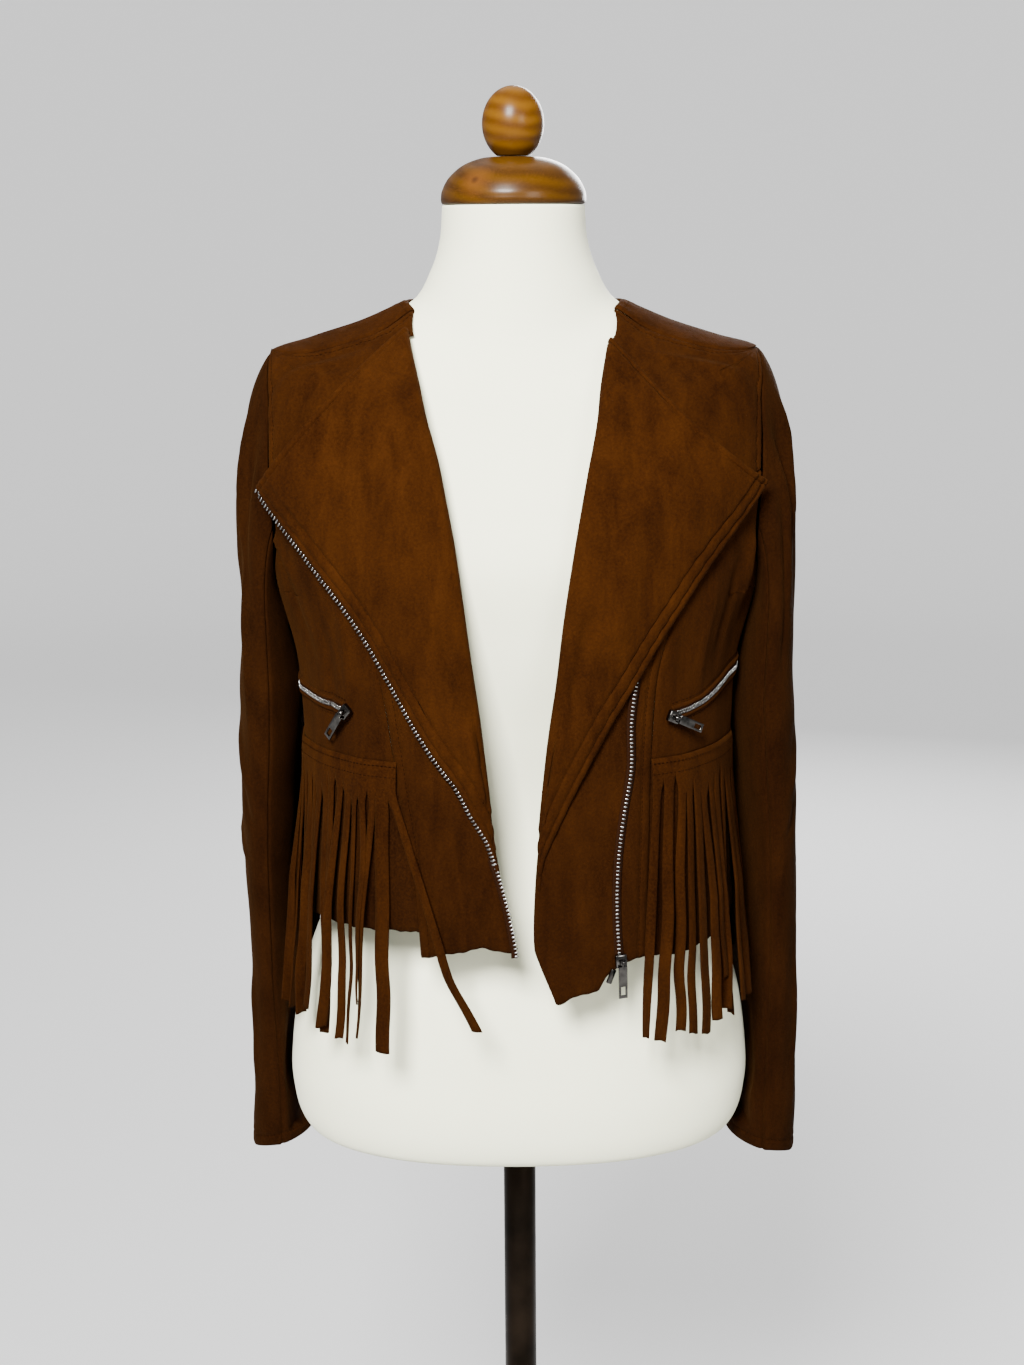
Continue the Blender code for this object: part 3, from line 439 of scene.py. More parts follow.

# %% [markdown]
# ## Suede
# Suede is leather or knit brushed until its fibres stand up. It has no shine of its own: the fibres
# catch light at the outline (sheen), lie this way and that (soft clouds of lighter and darker brown)
# and make a fine mottle. It could be thousands of real hairs, but at this size they would only be seen as
# that mottle. One node group works it out from object coordinates, in four sizes, and gives a colour, a
# height and a roughness; each cloth material places it with its own browns.
# The group also paints shade into the colour, darker toward the bottom of the jacket.

# %% Nap group
# noise scales, in features per metre
CLOUDS, STREAKS, MOTTLE, FIBRES = 16, 75, 560, 1900
STREAK_STRETCH = 0.22
# heights in metres of the painted shade: full at the first and below, gone at the second and above
SHADE_FROM, SHADE_TO = 0.82, 1.12


def group_socket(group, name, kind, way, value=None):
    """A named input or output of a node group."""
    socket = group.interface.new_socket(name, in_out=way, socket_type=kind)
    if value is not None:
        socket.default_value = value
    return socket


def noise(tree, place, scale, detail=3.0, roughness=0.55, distortion=0.0):
    """A noise texture on a vector; gives its value from 0 to 1."""
    made = node(tree, "ShaderNodeTexNoise")
    made.inputs["Scale"].default_value = scale
    made.inputs["Detail"].default_value = detail
    made.inputs["Roughness"].default_value = roughness
    made.inputs["Distortion"].default_value = distortion
    tree.links.new(place, made.inputs["Vector"])
    return made.outputs["Fac"]


def blend_colours(tree, share, first, second):
    """Mixes two colours; each is an output or four numbers."""
    made = node(tree, "ShaderNodeMix", data_type="RGBA")
    tree.links.new(share, made.inputs[0])
    for socket, value in ((made.inputs[6], first), (made.inputs[7], second)):
        if isinstance(value, tuple):
            socket.default_value = value
        else:
            tree.links.new(value, socket)
    return made.outputs[2]


def brushed_nap_group():
    """The colour's share is 0.16, plus 0.24 of clouds of about 60 mm, 0.44 of streaks drawn down the cloth,
    and the mottle of about 2 mm, less a half, times its strength. The colour then gets a painted shade, darker
    toward the bottom: times the low shade at 0.82 m and below, one at 1.12 m and above, and a blend between."""
    group = bpy.data.node_groups.new("brushed_nap", "ShaderNodeTree")
    group_socket(group, "Place", "NodeSocketVector", "INPUT")
    group_socket(group, "Dark", "NodeSocketColor", "INPUT", (0.05, 0.014, 0.003, 1))
    group_socket(group, "Light", "NodeSocketColor", "INPUT", (0.18, 0.06, 0.013, 1))
    group_socket(group, "Mottle", "NodeSocketFloat", "INPUT", 0.5)
    group_socket(group, "Painted Low Shade", "NodeSocketFloat", "INPUT", 0.55)
    group_socket(group, "Color", "NodeSocketColor", "OUTPUT")
    group_socket(group, "Height", "NodeSocketFloat", "OUTPUT")
    group_socket(group, "Roughness", "NodeSocketFloat", "OUTPUT")
    inside = group.nodes.new("NodeGroupInput")
    outside = group.nodes.new("NodeGroupOutput")
    place = inside.outputs["Place"]
    down = node(group, "ShaderNodeMapping")
    down.inputs["Scale"].default_value = (1, 1, STREAK_STRETCH)
    group.links.new(place, down.inputs["Vector"])
    clouds = remap(group, noise(group, place, CLOUDS, 2, 0.5, 0.6), 0.34, 0.68)
    streaks = remap(group, noise(group, down.outputs[0], STREAKS, 4, 0.62, 0.4), 0.32, 0.7)
    mottle = remap(group, noise(group, place, MOTTLE, 4, 0.66), 0.3, 0.7)
    fibres = noise(group, place, FIBRES, 2, 0.6)
    broad = arithmetic(group, "ADD", arithmetic(group, "MULTIPLY", clouds, 0.24),
                       arithmetic(group, "MULTIPLY", streaks, 0.44))
    fine = arithmetic(group, "MULTIPLY", arithmetic(group, "SUBTRACT", mottle, 0.5), inside.outputs["Mottle"])
    share = arithmetic(group, "ADD", arithmetic(group, "ADD", broad, 0.16), fine)
    colour = blend_colours(group, share, inside.outputs["Dark"], inside.outputs["Light"])
    # painted shade: the colour darkens toward the bottom of the jacket, by height
    parts = node(group, "ShaderNodeSeparateXYZ")
    group.links.new(place, parts.inputs[0])
    high = remap(group, parts.outputs["Z"], SHADE_FROM, SHADE_TO)
    missing = arithmetic(group, "SUBTRACT", 1.0, inside.outputs["Painted Low Shade"])
    missing = arithmetic(group, "MULTIPLY", missing, high)
    shade = arithmetic(group, "ADD", inside.outputs["Painted Low Shade"], missing)
    group.links.new(blend_colours(group, shade, (0, 0, 0, 1), colour), outside.inputs["Color"])
    height = arithmetic(group, "ADD", arithmetic(group, "MULTIPLY", mottle, 0.6), fibres)
    group.links.new(height, outside.inputs["Height"])
    group.links.new(remap(group, share, 0, 1, 0.98, 0.84), outside.inputs["Roughness"])
    return group


def shader_of(name):
    """A new material's tree, its Principled shader and its object coordinates."""
    material = bpy.data.materials.new(name)
    material.use_nodes = True
    tree = material.node_tree
    return material, tree, tree.nodes["Principled BSDF"], node(tree, "ShaderNodeTexCoord").outputs["Object"]


def bump(tree, shader, height, distance, strength=1.0):
    """A height, in steps of `distance` metres, that turns the shader's normal."""
    made = node(tree, "ShaderNodeBump")
    made.inputs["Distance"].default_value = distance
    made.inputs["Strength"].default_value = strength
    tree.links.new(height, made.inputs["Height"])
    tree.links.new(made.outputs["Normal"], shader.inputs["Normal"])


NAP = brushed_nap_group()
print("nap group:", len(NAP.nodes), "nodes")

# %% Suede materials
SUEDE_DARK, SUEDE_LIGHT = (0.0125, 0.0031, 0.0005), (0.0450, 0.0130, 0.0018)
NAP_DEPTH, NAP_BUMP = 0.0004, 0.7
SHEEN_ROUGHNESS, SHEEN_TINT = 0.5, (0.85, 0.36, 0.08, 1)


def suede_material(name, tone, mottle, painted_low_shade, sheen=0.02):
    """Brushed suede: the nap group feeds colour (with its painted shade), roughness and a fine height; `tone`
    scales its browns.
    """
    material, tree, shader, place = shader_of(name)
    nap = node(tree, "ShaderNodeGroup", node_tree=NAP)
    tree.links.new(place, nap.inputs["Place"])
    nap.inputs["Dark"].default_value = (*(tone * channel for channel in SUEDE_DARK), 1)
    nap.inputs["Light"].default_value = (*(tone * channel for channel in SUEDE_LIGHT), 1)
    nap.inputs["Mottle"].default_value = mottle
    nap.inputs["Painted Low Shade"].default_value = painted_low_shade
    tree.links.new(nap.outputs["Color"], shader.inputs["Base Color"])
    tree.links.new(nap.outputs["Roughness"], shader.inputs["Roughness"])
    bump(tree, shader, nap.outputs["Height"], NAP_DEPTH, NAP_BUMP)
    shader.inputs["Specular IOR Level"].default_value = 0.02
    shader.inputs["Sheen Weight"].default_value = sheen
    shader.inputs["Sheen Roughness"].default_value = SHEEN_ROUGHNESS
    shader.inputs["Sheen Tint"].default_value = SHEEN_TINT
    return material


# copies of one suede with light and shade painted in: the lapels' copy painted lighter, as lit from the front,
# the sleeves' copy painted darker, as in shade
suede = suede_material("brushed_suede", tone=0.62, mottle=0.42, painted_low_shade=0.76)
lapel_suede_painted_light = suede_material("lapel_suede_painted_light", tone=0.70, mottle=0.42, painted_low_shade=0.84)
sleeve_suede_painted_shade = suede_material("sleeve_suede_painted_shade", tone=0.40, mottle=0.5, painted_low_shade=0.9)
fringe_suede = suede_material("fringe_suede", tone=0.70, mottle=0.55, painted_low_shade=0.8)
# painted shadow: a darker copy of the suede for the panels in the fringe's shade
fringe_shadow_suede = suede_material("suede_painted_fringe_shadow", tone=0.44, mottle=0.8, painted_low_shade=0.8)
# the stitches' own brown thread, painted much darker than the suede so the stitch lines draw the shade along
# seams and edges
thread_brown_and_seam_shade = suede_material("sewing_thread_and_seam_shade", tone=0.22, mottle=0.3, painted_low_shade=0.9, sheen=0.0)
print("suede materials:", suede.name, fringe_suede.name, thread_brown_and_seam_shade.name)

# %% [markdown]
# ## Panels
# A cut panel is a grid of points: rows run up the body and columns across it. Both are set in
# millimetres, close together near the seams, where the cloth turns under and is stitched, and wider
# apart in the middle. A simulated drape would settle somewhere else on each run of a different machine; a
# grid that is worked out stays on its seams. The panel gets its wall from Solidify.

# %% Grids
# distances of the first rows or columns from a seam (millimetres)
NEAR_SEAM = np.array([0, 0.7, 1.5, 2.6, 4.2])
NEAR_STITCH = np.array([0, 0.7, 1.5, 2.6, 4.2, 5.6, 6.5, 7.2, 7.9, 8.9, 10.5])


def columns_at(width, first, last, step=4.0):
    """Fixed distances from both ends of each width, and even steps between; short widths squeeze them."""
    width = np.atleast_1d(width)[:, None]
    room = first[-1] + last[-1] + 3
    squeeze = np.minimum(1, width / room)
    low, high = first * squeeze, width - last[::-1] * squeeze
    middle = max(2, int((width.max() - room) / step))
    between = low[:, -1:] + (high[:, :1] - low[:, -1:]) * np.linspace(0, 1, middle + 2)[1:-1]
    return np.concatenate([low, between, high], 1)


def levels_through(*stops, step=4.0, turn=50):
    """Levels between the stops, one step apart along the skin and finer near each stop."""
    runs = []
    for low, high in zip(stops, stops[1:]):
        level = np.linspace(low, high, 200)
        point = on_jacket(turn, level, 0, False)
        run = np.concatenate([[0], np.cumsum(np.linalg.norm(np.diff(point, axis=0), axis=-1))])
        runs.append(np.interp(columns_at(run[-1], NEAR_SEAM, NEAR_SEAM, step)[0], run, level))
    return np.concatenate([runs[0]] + [run[1:] for run in runs[1:]])


def turns_between(levels, first, last, near_first=NEAR_SEAM, near_last=NEAR_SEAM, step=4.0):
    """For each level, turns from the first seam to the last, spaced in millimetres along the skin."""
    turn = first[:, None] + (last - first)[:, None] * np.linspace(0, 1, 49)
    point = on_jacket(turn, levels[:, None], 0, False)
    gaps = np.linalg.norm(np.diff(point, axis=1), axis=-1)
    run = np.concatenate([np.zeros((len(levels), 1)), np.cumsum(gaps, 1)], 1)
    places = columns_at(run[:, -1], near_first, near_last, step)
    return np.stack([np.interp(*row) for row in zip(places, run, turn)])


print("grids: seam steps", NEAR_SEAM.tolist())

# %% Sewing
TUCK_WIDTH, STITCH_WIDTH, PUCKER, PUCKER_WIDTH = 1.5, 1.1, 0.4, 4.5
LUMP_SIZE = 55


def edge_distances(grid):
    """Each point's distance to the grid's four edges, measured along its row or its column."""
    up = np.pad(np.cumsum(np.linalg.norm(np.diff(grid, axis=0), axis=-1), 0), ((1, 0), (0, 0)))
    along = np.pad(np.cumsum(np.linalg.norm(np.diff(grid, axis=1), axis=-1), 1), ((0, 0), (1, 0)))
    return {"low": up, "high": up[-1] - up, "first": along, "last": along[:, -1:] - along}


def grid_normals(grid):
    """The cross product of the directions across and up the grid."""
    return unit(np.cross(np.gradient(grid, axis=1), np.gradient(grid, axis=0)))


def sewn(grid, tucked="low high first last", stitched=(), seed=1, lumps=0.35, tuck=1.3, sink=0.9):
    """Edges turn under by a bell, and a stitch line sinks the cloth by a narrow one. Beside the line the
    cloth puckers by a wide bell times a sine of the way along it, whose phase drifts by a slow sine."""
    away = edge_distances(grid)
    height = lumps * unevenness(grid, LUMP_SIZE, seed)
    for edge in tucked.split():
        height -= tuck * np.exp(-(away[edge] / TUCK_WIDTH) ** 2)
    for edge, distance in stitched:
        beside = away[edge] - distance
        across = "low" if edge in ("first", "last") else "first"
        pucker = np.sin(away[across] / 2.4 + 2 * np.sin(away[across] / 31))
        height -= sink * np.exp(-(beside / STITCH_WIDTH) ** 2)
        height += PUCKER * pucker * np.exp(-(beside / PUCKER_WIDTH) ** 2)
    return grid + grid_normals(grid) * height[..., None]


def line_on(grid, edge, distance, start=0.0, end=1.0):
    """The line on a grid at a distance from one edge, and the grid's normals there."""
    measure, normal = edge_distances(grid)[edge], grid_normals(grid)
    if edge in ("low", "high"):
        grid, measure, normal = grid.swapaxes(0, 1), measure.T, normal.swapaxes(0, 1)
    if edge in ("last", "high"):
        grid, measure, normal = grid[:, ::-1], measure[:, ::-1], normal[:, ::-1]
    keep = slice(int(start * len(grid)), max(int(end * len(grid)), 2))
    rows = [(m, np.hstack([g, n])) for m, g, n in zip(measure[keep], grid[keep], normal[keep])
            if m[-1] > distance]
    line = np.array([[np.interp(distance, m, both[:, k]) for k in range(6)] for m, both in rows])
    return line[:, :3], unit(line[:, 3:])


print("sewing: a tuck", TUCK_WIDTH, "mm wide, stitch grooves", STITCH_WIDTH, "mm wide")

# %% Cloth pieces
CLOTH, LAPEL_CLOTH = 1.4, 1.6


def cloth_piece(name, grid, nodes, material=None, wall=CLOTH, offset=-1.0):
    """A grid of points in millimetres, thickened to a wall, standing for its plain nodes."""
    rows, columns, _ = grid.shape
    thing = mesh_from(name, grid * MM, grid_faces(rows, columns))
    thing.data.materials.append(material or suede)
    solidify = thing.modifiers.new("wall", "SOLIDIFY")
    solidify.thickness = wall * MM
    solidify.offset = offset
    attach(thing, BODY)
    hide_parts(*nodes)
    return thing


def flat_size(grid):
    """The cut laid flat: its longest row and column in metres, and its area from the quads' halves."""
    across = np.linalg.norm(np.diff(grid, axis=1), axis=-1).sum(1).max() * MM
    along = np.linalg.norm(np.diff(grid, axis=0), axis=-1).sum(0).max() * MM
    a, b, c, d = grid[:-1, :-1], grid[:-1, 1:], grid[1:, 1:], grid[1:, :-1]
    low_half = np.linalg.norm(np.cross(b - a, d - a), axis=-1)
    high_half = np.linalg.norm(np.cross(b - c, d - c), axis=-1)
    area = float((low_half + high_half).sum() / 2 * MM * MM)
    return round(float(across), 3), round(float(along), 3), round(area, 4)


def cut_sheet(thing, grid):
    """Prints a cloth piece's name with the size of its cut."""
    across, along, area = flat_size(grid)
    area = min(area, round(across * along, 4))
    print(f"  {thing.name}: {across * 1000:.0f} x {along * 1000:.0f} mm, {area * 1e4:.0f} square cm")


print("cloth:", CLOTH, "mm, lapels", LAPEL_CLOTH, "mm")

# %% [markdown]
# ## Fronts, sides, yoke and back
# The two fronts run from hem to shoulder, a side panel fills the gap to the side seam, one yoke
# crosses both shoulders, and the back hangs under it. Each panel is cut from the skin between two
# seams given as turns at each level. One closed tube would be easier, but then no seam would be a real gap
# between two edges that turn under, which is what makes it read as sewn.

# %% Body panels
# the level above which the rows slide to the neckline, and the ragged hem's waves in levels
NECK_FROM = 11.8
HEM_WAVE, HEM_RIPPLE = 0.010, 0.006
stitch_lines = {"body": [], "lapels": [], "fringe": [], "sleeves": []}


def follow_hem(name, turn, level):
    """Below the fringe seam a panel's levels slide until its last row lies on the hem, plus two sines."""
    share = np.clip((FRINGE_SEAM - level) / (FRINGE_SEAM - HEM), 0, 1)
    ragged = HEM_WAVE * np.sin(turn * 0.8) + HEM_RIPPLE * np.sin(turn * 2.3 + 1)
    return level + (hem_level(name, turn) - HEM + ragged) * share


def body_panel(name, nodes, levels, first, last, hem=None, stitched=(), near=(NEAR_SEAM, NEAR_SEAM), seed=1,
               material=None):
    """A panel of the jacket's skin between two seams, sewn at its edges."""
    turn = turns_between(levels, first, last, *near)
    level = np.repeat(levels[:, None], turn.shape[1], 1)
    if hem is not None:
        level = follow_hem(hem, turn, level)
    rising = np.clip(level - NECK_FROM, 0, None) / (NECK_EDGE - NECK_FROM)
    level = level + rising * (neck_level(turn) - NECK_EDGE)
    flat = on_jacket(turn, level)
    grid = sewn(flat, stitched=stitched, seed=seed)
    thing = cloth_piece(name, grid, nodes, material)
    cut_sheet(thing, grid)
    return grid


print("hem waves", HEM_WAVE, "and", HEM_RIPPLE, "levels")

# %% Fronts
PRINCESS_STITCH, SHOULDER_STITCH = 7.2, 2.2
# how far the front's edge is drawn back under the lapel's fold: millimetres at levels
EDGE_TUCK = {"levels": [3.6, 3.9, 7.0, 9.0, 11.0, 11.9, 12.95], "back": [0, 4.2, 5.1, 6.6, 6.0, 1.2, -1.8]}


def front_panel(name, side):
    """The front, from its folded edge to the princess seam, the armhole and the shoulder."""
    levels = levels_through(HEM, FRINGE_SEAM, ARMHOLE_LEVEL, CROWN, NECK_EDGE)
    tucked = np.interp(levels, EDGE_TUCK["levels"], EDGE_TUCK["back"])
    edge = seam_turn(FRONT_EDGE[name], side, levels)
    step = np.linalg.norm(on_jacket(edge + side, levels) - on_jacket(edge, levels), axis=-1)
    edge = edge + side * tucked / step
    limit = np.where(levels > CROWN, yoke_seam_turn(levels) - 4, 90)
    edge = side * np.minimum(side * edge, limit)
    seam = side * np.where(levels > CROWN, yoke_seam_turn(levels) - 0.4, 90 - armhole_reach(levels))
    outer = np.where(levels < ARMHOLE_LEVEL + 0.01, princess_turn(name, side, levels), seam)
    ends = (outer, edge) if side < 0 else (edge, outer)
    seam_edge = "first" if side < 0 else "last"
    near = (NEAR_STITCH, NEAR_SEAM) if side < 0 else (NEAR_SEAM, NEAR_STITCH)
    grid = body_panel(f"suede_front_{name}", [f"front_{name}"], levels, *ends, hem=name,
                      stitched=[(seam_edge, PRINCESS_STITCH)], near=near, seed=11 + side)
    stitch_lines["body"].append(line_on(grid, seam_edge, PRINCESS_STITCH))
    shoulder = float(np.mean(levels < CROWN + 0.3))
    stitch_lines["body"].append(line_on(grid, seam_edge, SHOULDER_STITCH, shoulder))


print("front stitches", PRINCESS_STITCH, "mm from the seam")

# %% Sides and back
YOKE_STITCH, NECK_STITCH = 3.0, 6.5


def side_panels(name, side):
    """The front's side, above and below the fringe seam; the lower one is painted darker, for the fringe's
    shadow.
    """
    for label, stops in (("upper", (FRINGE_SEAM, UNDERARM, ARMHOLE_LEVEL)), ("lower", (HEM, FRINGE_SEAM))):
        levels = levels_through(*stops, turn=80)
        outer = side * (90 - np.where(levels < UNDERARM, 0, armhole_reach(levels)))
        inner = princess_turn(name, side, levels)
        ends = (outer, inner) if side < 0 else (inner, outer)
        body_panel(f"suede_side_{label}_{name}", [f"front_side_{label}_{name}"], levels, *ends,
                   hem="side_right" if side < 0 else name, seed=21 + side,
                   material=fringe_shadow_suede if label == "lower" else suede)


def back_panels():
    """The yoke over both shoulders, then the back above and below the fringe seam, the lower one with painted
    shadow.
    """
    levels = levels_through(BACK_YOKE_SEAM, CROWN, NECK_EDGE, turn=130)
    reach = np.where(levels > CROWN, yoke_seam_turn(levels) - 90, armhole_reach(levels))
    rows = [("low", YOKE_STITCH), ("high", NECK_STITCH)]
    yoke = body_panel("suede_yoke", ["back_yoke"], levels, 90 + reach, 270 - reach, seed=31, stitched=rows)
    stitch_lines["body"].extend(line_on(yoke, *row) for row in rows)
    levels = levels_through(FRINGE_SEAM, UNDERARM, BACK_YOKE_SEAM, turn=150)
    reach = np.where(levels < UNDERARM, 0, armhole_reach(levels))
    body_panel("suede_back_upper", ["back_upper"], levels, 90 + reach, 270 - reach, seed=32)
    levels = levels_through(HEM, FRINGE_SEAM, turn=150)
    body_panel("suede_back_lower", ["back_lower"], levels, np.full(len(levels), 90.0),
               np.full(len(levels), 270.0), hem="back", seed=33, material=fringe_shadow_suede)


print("body panels, laid flat:")
for label, side in SIDES.items():
    front_panel(label, side)
    side_panels(label, side)
back_panels()

# %% [markdown]
# ## Lapels
# A lapel is the front edge turned back: face and facing together, so a thicker sheet. It leaves the
# seam under the fold, rolls over a soft half circle and lies on the front out to its free edge, where
# a topstitch line runs a finger's width inside. Toward the waist it narrows until the roll closes. Bending a
# flat sheet with a modifier would stretch it where the fold turns, so roll and sheet are one formula here.

# %% Lapel sizes
# distance out and height of the fold, then of the free edge, from the top row down (millimetres)
LAPEL = {
    "right": [(76, 1250, 181, 1143), (70, 1226, 162, 1118), (62, 1195, 143, 1094),
              (53, 1160, 122, 1068), (46, 1125, 104, 1041), (39, 1085, 88, 1012),
              (34, 1045, 72, 982), (29, 1005, 57, 957), (24, 965, 42, 936), (20, 930, 32, 916),
              (18, 907, 22.5, 899), (15.8, 888, 17.6, 884), (14.4, 876, 15.0, 874)],
    "left": [(66, 1243, 177, 1144), (62, 1222, 161, 1122), (57, 1192, 144, 1101),
             (51, 1162, 128, 1080), (45, 1130, 113, 1058), (38, 1090, 98, 1035),
             (31, 1045, 82, 1008), (26, 1005, 66, 982), (21, 965, 47, 946), (16, 922, 29, 908),
             (14.4, 896, 20, 888), (14.0, 876, 16, 873), (14.0, 864, 14.6, 862)],
}
LAPEL_BOW = {"right": 6.0, "left": -7.0}
TIP_FORWARD = {"right": 18.0, "left": 7.0}
# the roll's radius, the rise of the free edge where the lapel is wide and where it has closed, and the
# height of the belly between fold and edge; the width below which the roll closes (millimetres)
ROLL, END_LIFT, CLOSED_LIFT, BELLY, CLOSING_WIDTH = 3.0, 4.6, 0.9, 2.0, 34.0
# the roll goes on under the fold for a quarter more than its half circle
ROLL_TURN = 1.25
# how fast the forward tip and the bow fade down the lapel, per length of it
TIP_FADE = 6.8444
# place down the lapel (0 to 1) and across it, at both ends; width, depth (millimetres)
LAPEL_CREASES = {
    "right": [(0.50, 0.30, 0.66, 0.12, 6, 1.3), (0.44, 0.42, 0.60, 0.30, 5, -1.2),
              (0.20, 0.15, 0.42, 0.10, 9, 1.0), (0.62, 0.45, 0.74, 0.2, 5, 1.0),
              (0.06, 0.35, 0.12, 0.72, 9, -0.9)],
    "left": [(0.05, 0.12, 0.20, 0.30, 8, -1.0), (0.26, 0.40, 0.44, 0.62, 9, 1.2),
             (0.46, 0.25, 0.62, 0.30, 6, -1.0), (0.60, 0.15, 0.78, 0.22, 6, 1.1),
             (0.12, 0.50, 0.20, 0.85, 9, 1.0)],
}
# distances of the last rows and columns from a free edge, and of its two stitch lines (millimetres)
LAPEL_RIM = np.array([0, 0.7, 1.5, 2.6, 3.8, 4.6, 5.4, 6.8, 9.0, 11.2, 12.3, 13.0, 13.7, 14.8, 17.0])
EDGE_STITCH, INNER_STITCH = 4.6, 13.0
LAPEL_LENGTH, LAPEL_ROWS = 400.0, 122
print("lapels: a roll of", 2 * ROLL, "mm, bellied by", BELLY, "mm")

# %% Lapel surface


def lapel_profile(width, across):
    """Distance from the fold and rise off the front. From `across` -1 to 0 these are a circle's: its sine
    taken from the roll's reach, and one plus its cosine. From 0 (fold) to 1 (edge) the distance grows
    evenly, and the rise is a straight line plus a parabola of height BELLY."""
    closing = np.clip(width / CLOSING_WIDTH, 0.05, 1)
    roll = ROLL * closing
    around = np.clip(-across, 0, 1) * ROLL_TURN * math.pi
    curled = np.minimum(around, math.pi)
    along = roll * (ROLL_TURN - np.sin(curled) + np.maximum(around - math.pi, 0))
    rise = roll * (1 + np.cos(curled)) - CLOTH / 2 * closing
    flat = np.clip(across, 0, 1)
    along = np.where(across > 0, roll * ROLL_TURN + (width - roll * ROLL_TURN) * flat, along)
    top = 2 * roll - CLOTH / 2 * closing
    end_lift = CLOSED_LIFT + (END_LIFT - CLOSED_LIFT) * closing
    lying = top + (end_lift - top) * flat + BELLY * closing * 4 * flat * (1 - flat)
    return along, np.where(across > 0, lying, rise)


def lapel_grid(name, side, across, down):
    """The profile laid from fold to edge on the skin; near the top the edge also comes forward, by the square
    of its distance from the fold, and the sheet bows by a parabola, both fading down by an exponential."""
    rows = smooth_rows(LAPEL[name], down * (len(LAPEL[name]) - 1))
    fold_out, fold_z, edge_out, edge_z = rows.T[..., None]
    fold = on_jacket(*locate(fold_out * side, fold_z))
    edge = on_jacket(*locate(edge_out * side, edge_z))
    width = np.linalg.norm(edge - fold, axis=-1)
    along, rise = lapel_profile(width, across)
    share = along / width
    beside = (fold_out + (edge_out - fold_out) * share) * side
    place = locate(beside, fold_z + (edge_z - fold_z) * share)
    flat = np.clip(across, 0, 1)
    fade = np.exp(-TIP_FADE * down)[:, None]
    point = on_jacket(*place, rise, False)
    point[..., 1] -= TIP_FORWARD[name] * fade * flat ** 2
    point[..., 2] += LAPEL_BOW[name] * 4 * flat * (1 - flat) * fade
    return point


def crease_lines(grid, down, across, creases):
    """Bells across straight lines on a grid, measured in millimetres in space."""
    height = np.zeros(grid.shape[:2])
    for down_a, across_a, down_b, across_b, width, depth in creases:
        ends = [grid[np.abs(down - d).argmin(), np.abs(across - a).argmin()]
                for d, a in ((down_a, across_a), (down_b, across_b))]
        run = ends[1] - ends[0]
        share = (grid - ends[0]) @ run / (run @ run)
        away = np.linalg.norm(grid - ends[0] - np.clip(share, 0, 1)[..., None] * run, axis=-1)
        height += CREASE_GAIN * depth * np.exp(-(away / width) ** 2)
    return height


print("lapel creases:", sum(len(creases) for creases in LAPEL_CREASES.values()))

# %% Lapel pieces


def make_lapel(name, side):
    """Roll, sheet, soft creases, and a rim that bends down a little at its free edges."""
    roll = np.linspace(-1, 0, 16)[:-1]
    rim = LAPEL_RIM / LAPEL_LENGTH
    down = np.concatenate([rim[:-1], np.linspace(rim[-1], 1, LAPEL_ROWS)])
    rows = smooth_rows(LAPEL[name], down * (len(LAPEL[name]) - 1))
    width = np.hypot(rows[:, 2] - rows[:, 0], rows[:, 3] - rows[:, 1])
    flat = columns_at(width, np.array([0.0, 2.5]), LAPEL_RIM, 3.5) / width[:, None]
    across = np.concatenate([np.repeat(roll[None], len(down), 0), flat], 1)
    grid = lapel_grid(name, side, across, down)
    height = crease_lines(grid, down, across[0], LAPEL_CREASES[name])
    grid = grid[::-1] if side > 0 else grid[::-1, ::-1]
    height = height[::-1] if side > 0 else height[::-1, ::-1]
    free = "last" if side > 0 else "first"
    lying = np.clip(across[0], 0, 0.2) / 0.2
    height = height * (lying if side > 0 else lying[::-1])
    grid = grid + grid_normals(grid) * height[..., None]
    rows = [(free, EDGE_STITCH), (free, INNER_STITCH), ("high", EDGE_STITCH)]
    grid = sewn(grid, tucked=f"{free} high", stitched=rows, seed=41 + side, tuck=0.9, sink=1.3)
    # the lapel's copy of the suede is painted lighter: painted light
    thing = cloth_piece(f"suede_lapel_{name}", grid, [f"lapel_{name}"], lapel_suede_painted_light, LAPEL_CLOTH, 0.0)
    cut_sheet(thing, grid)
    for edge, distance in rows:
        end = 0.95 if edge == "high" else 0.97
        stitch_lines["lapels"].append(line_on(grid, edge, distance, 0.2, end))
    return grid


print("lapels, laid flat:")
lapels = {label: make_lapel(label, side) for label, side in SIDES.items()}

# %% [markdown]
# ## Sleeves
# A sleeve starts as the armhole's loop and sinks into a hanging tube, given by its inner, outer, front
# and back at heights. It is sewn from a wide top piece and a narrow under piece. Creases run out from
# the armhole and lie across the elbow, where an arm has bent it.

# %% Sleeves
# height: inner face, outer face, front, back (millimetres)
SLEEVE = {
    "right": [(600, 166, 217, 40, 58), (676, 168, 213, 46, 60), (760, 172, 210, 54, 62),
              (870, 168, 213, 60, 62), (980, 160, 211, 64, 62), (1060, 168, 206, 66, 62),
              (1130, 176, 205, 66, 62), (1240, 180, 203, 66, 62)],
    "left": [(592, 168, 224, 40, 58), (676, 170, 222, 46, 60), (760, 173, 219, 54, 62),
             (870, 169, 216, 60, 62), (980, 160, 211, 64, 62), (1060, 169, 208, 66, 62),
             (1130, 177, 206, 66, 62), (1240, 181, 203, 66, 62)],
}
# the cuff's rise on its inner side, the drop over which a sleeve settles into its tube, the seams' angle
CUFF_RISE, SETTLE, SLEEVE_SEAM = 12.0, 34.0, 120
# powers of the tube's corners, how far the cuff swings back and the rear inner corner reaches inward
SLEEVE_ROUNDING, INNER_ROUNDING, SLEEVE_SWING, BEHIND = 0.75, 1.25, 12.0, 10.0
# how far the columns crowd toward the front and back (degrees), and the cuff's stitch line (millimetres)
CROWDING, CUFF_STITCH = 28, 10.0
FORM_CLEARANCE, FRINGE_CLEARANCE, FORM_BOTTOM = 4.0, 8.0, 620.0
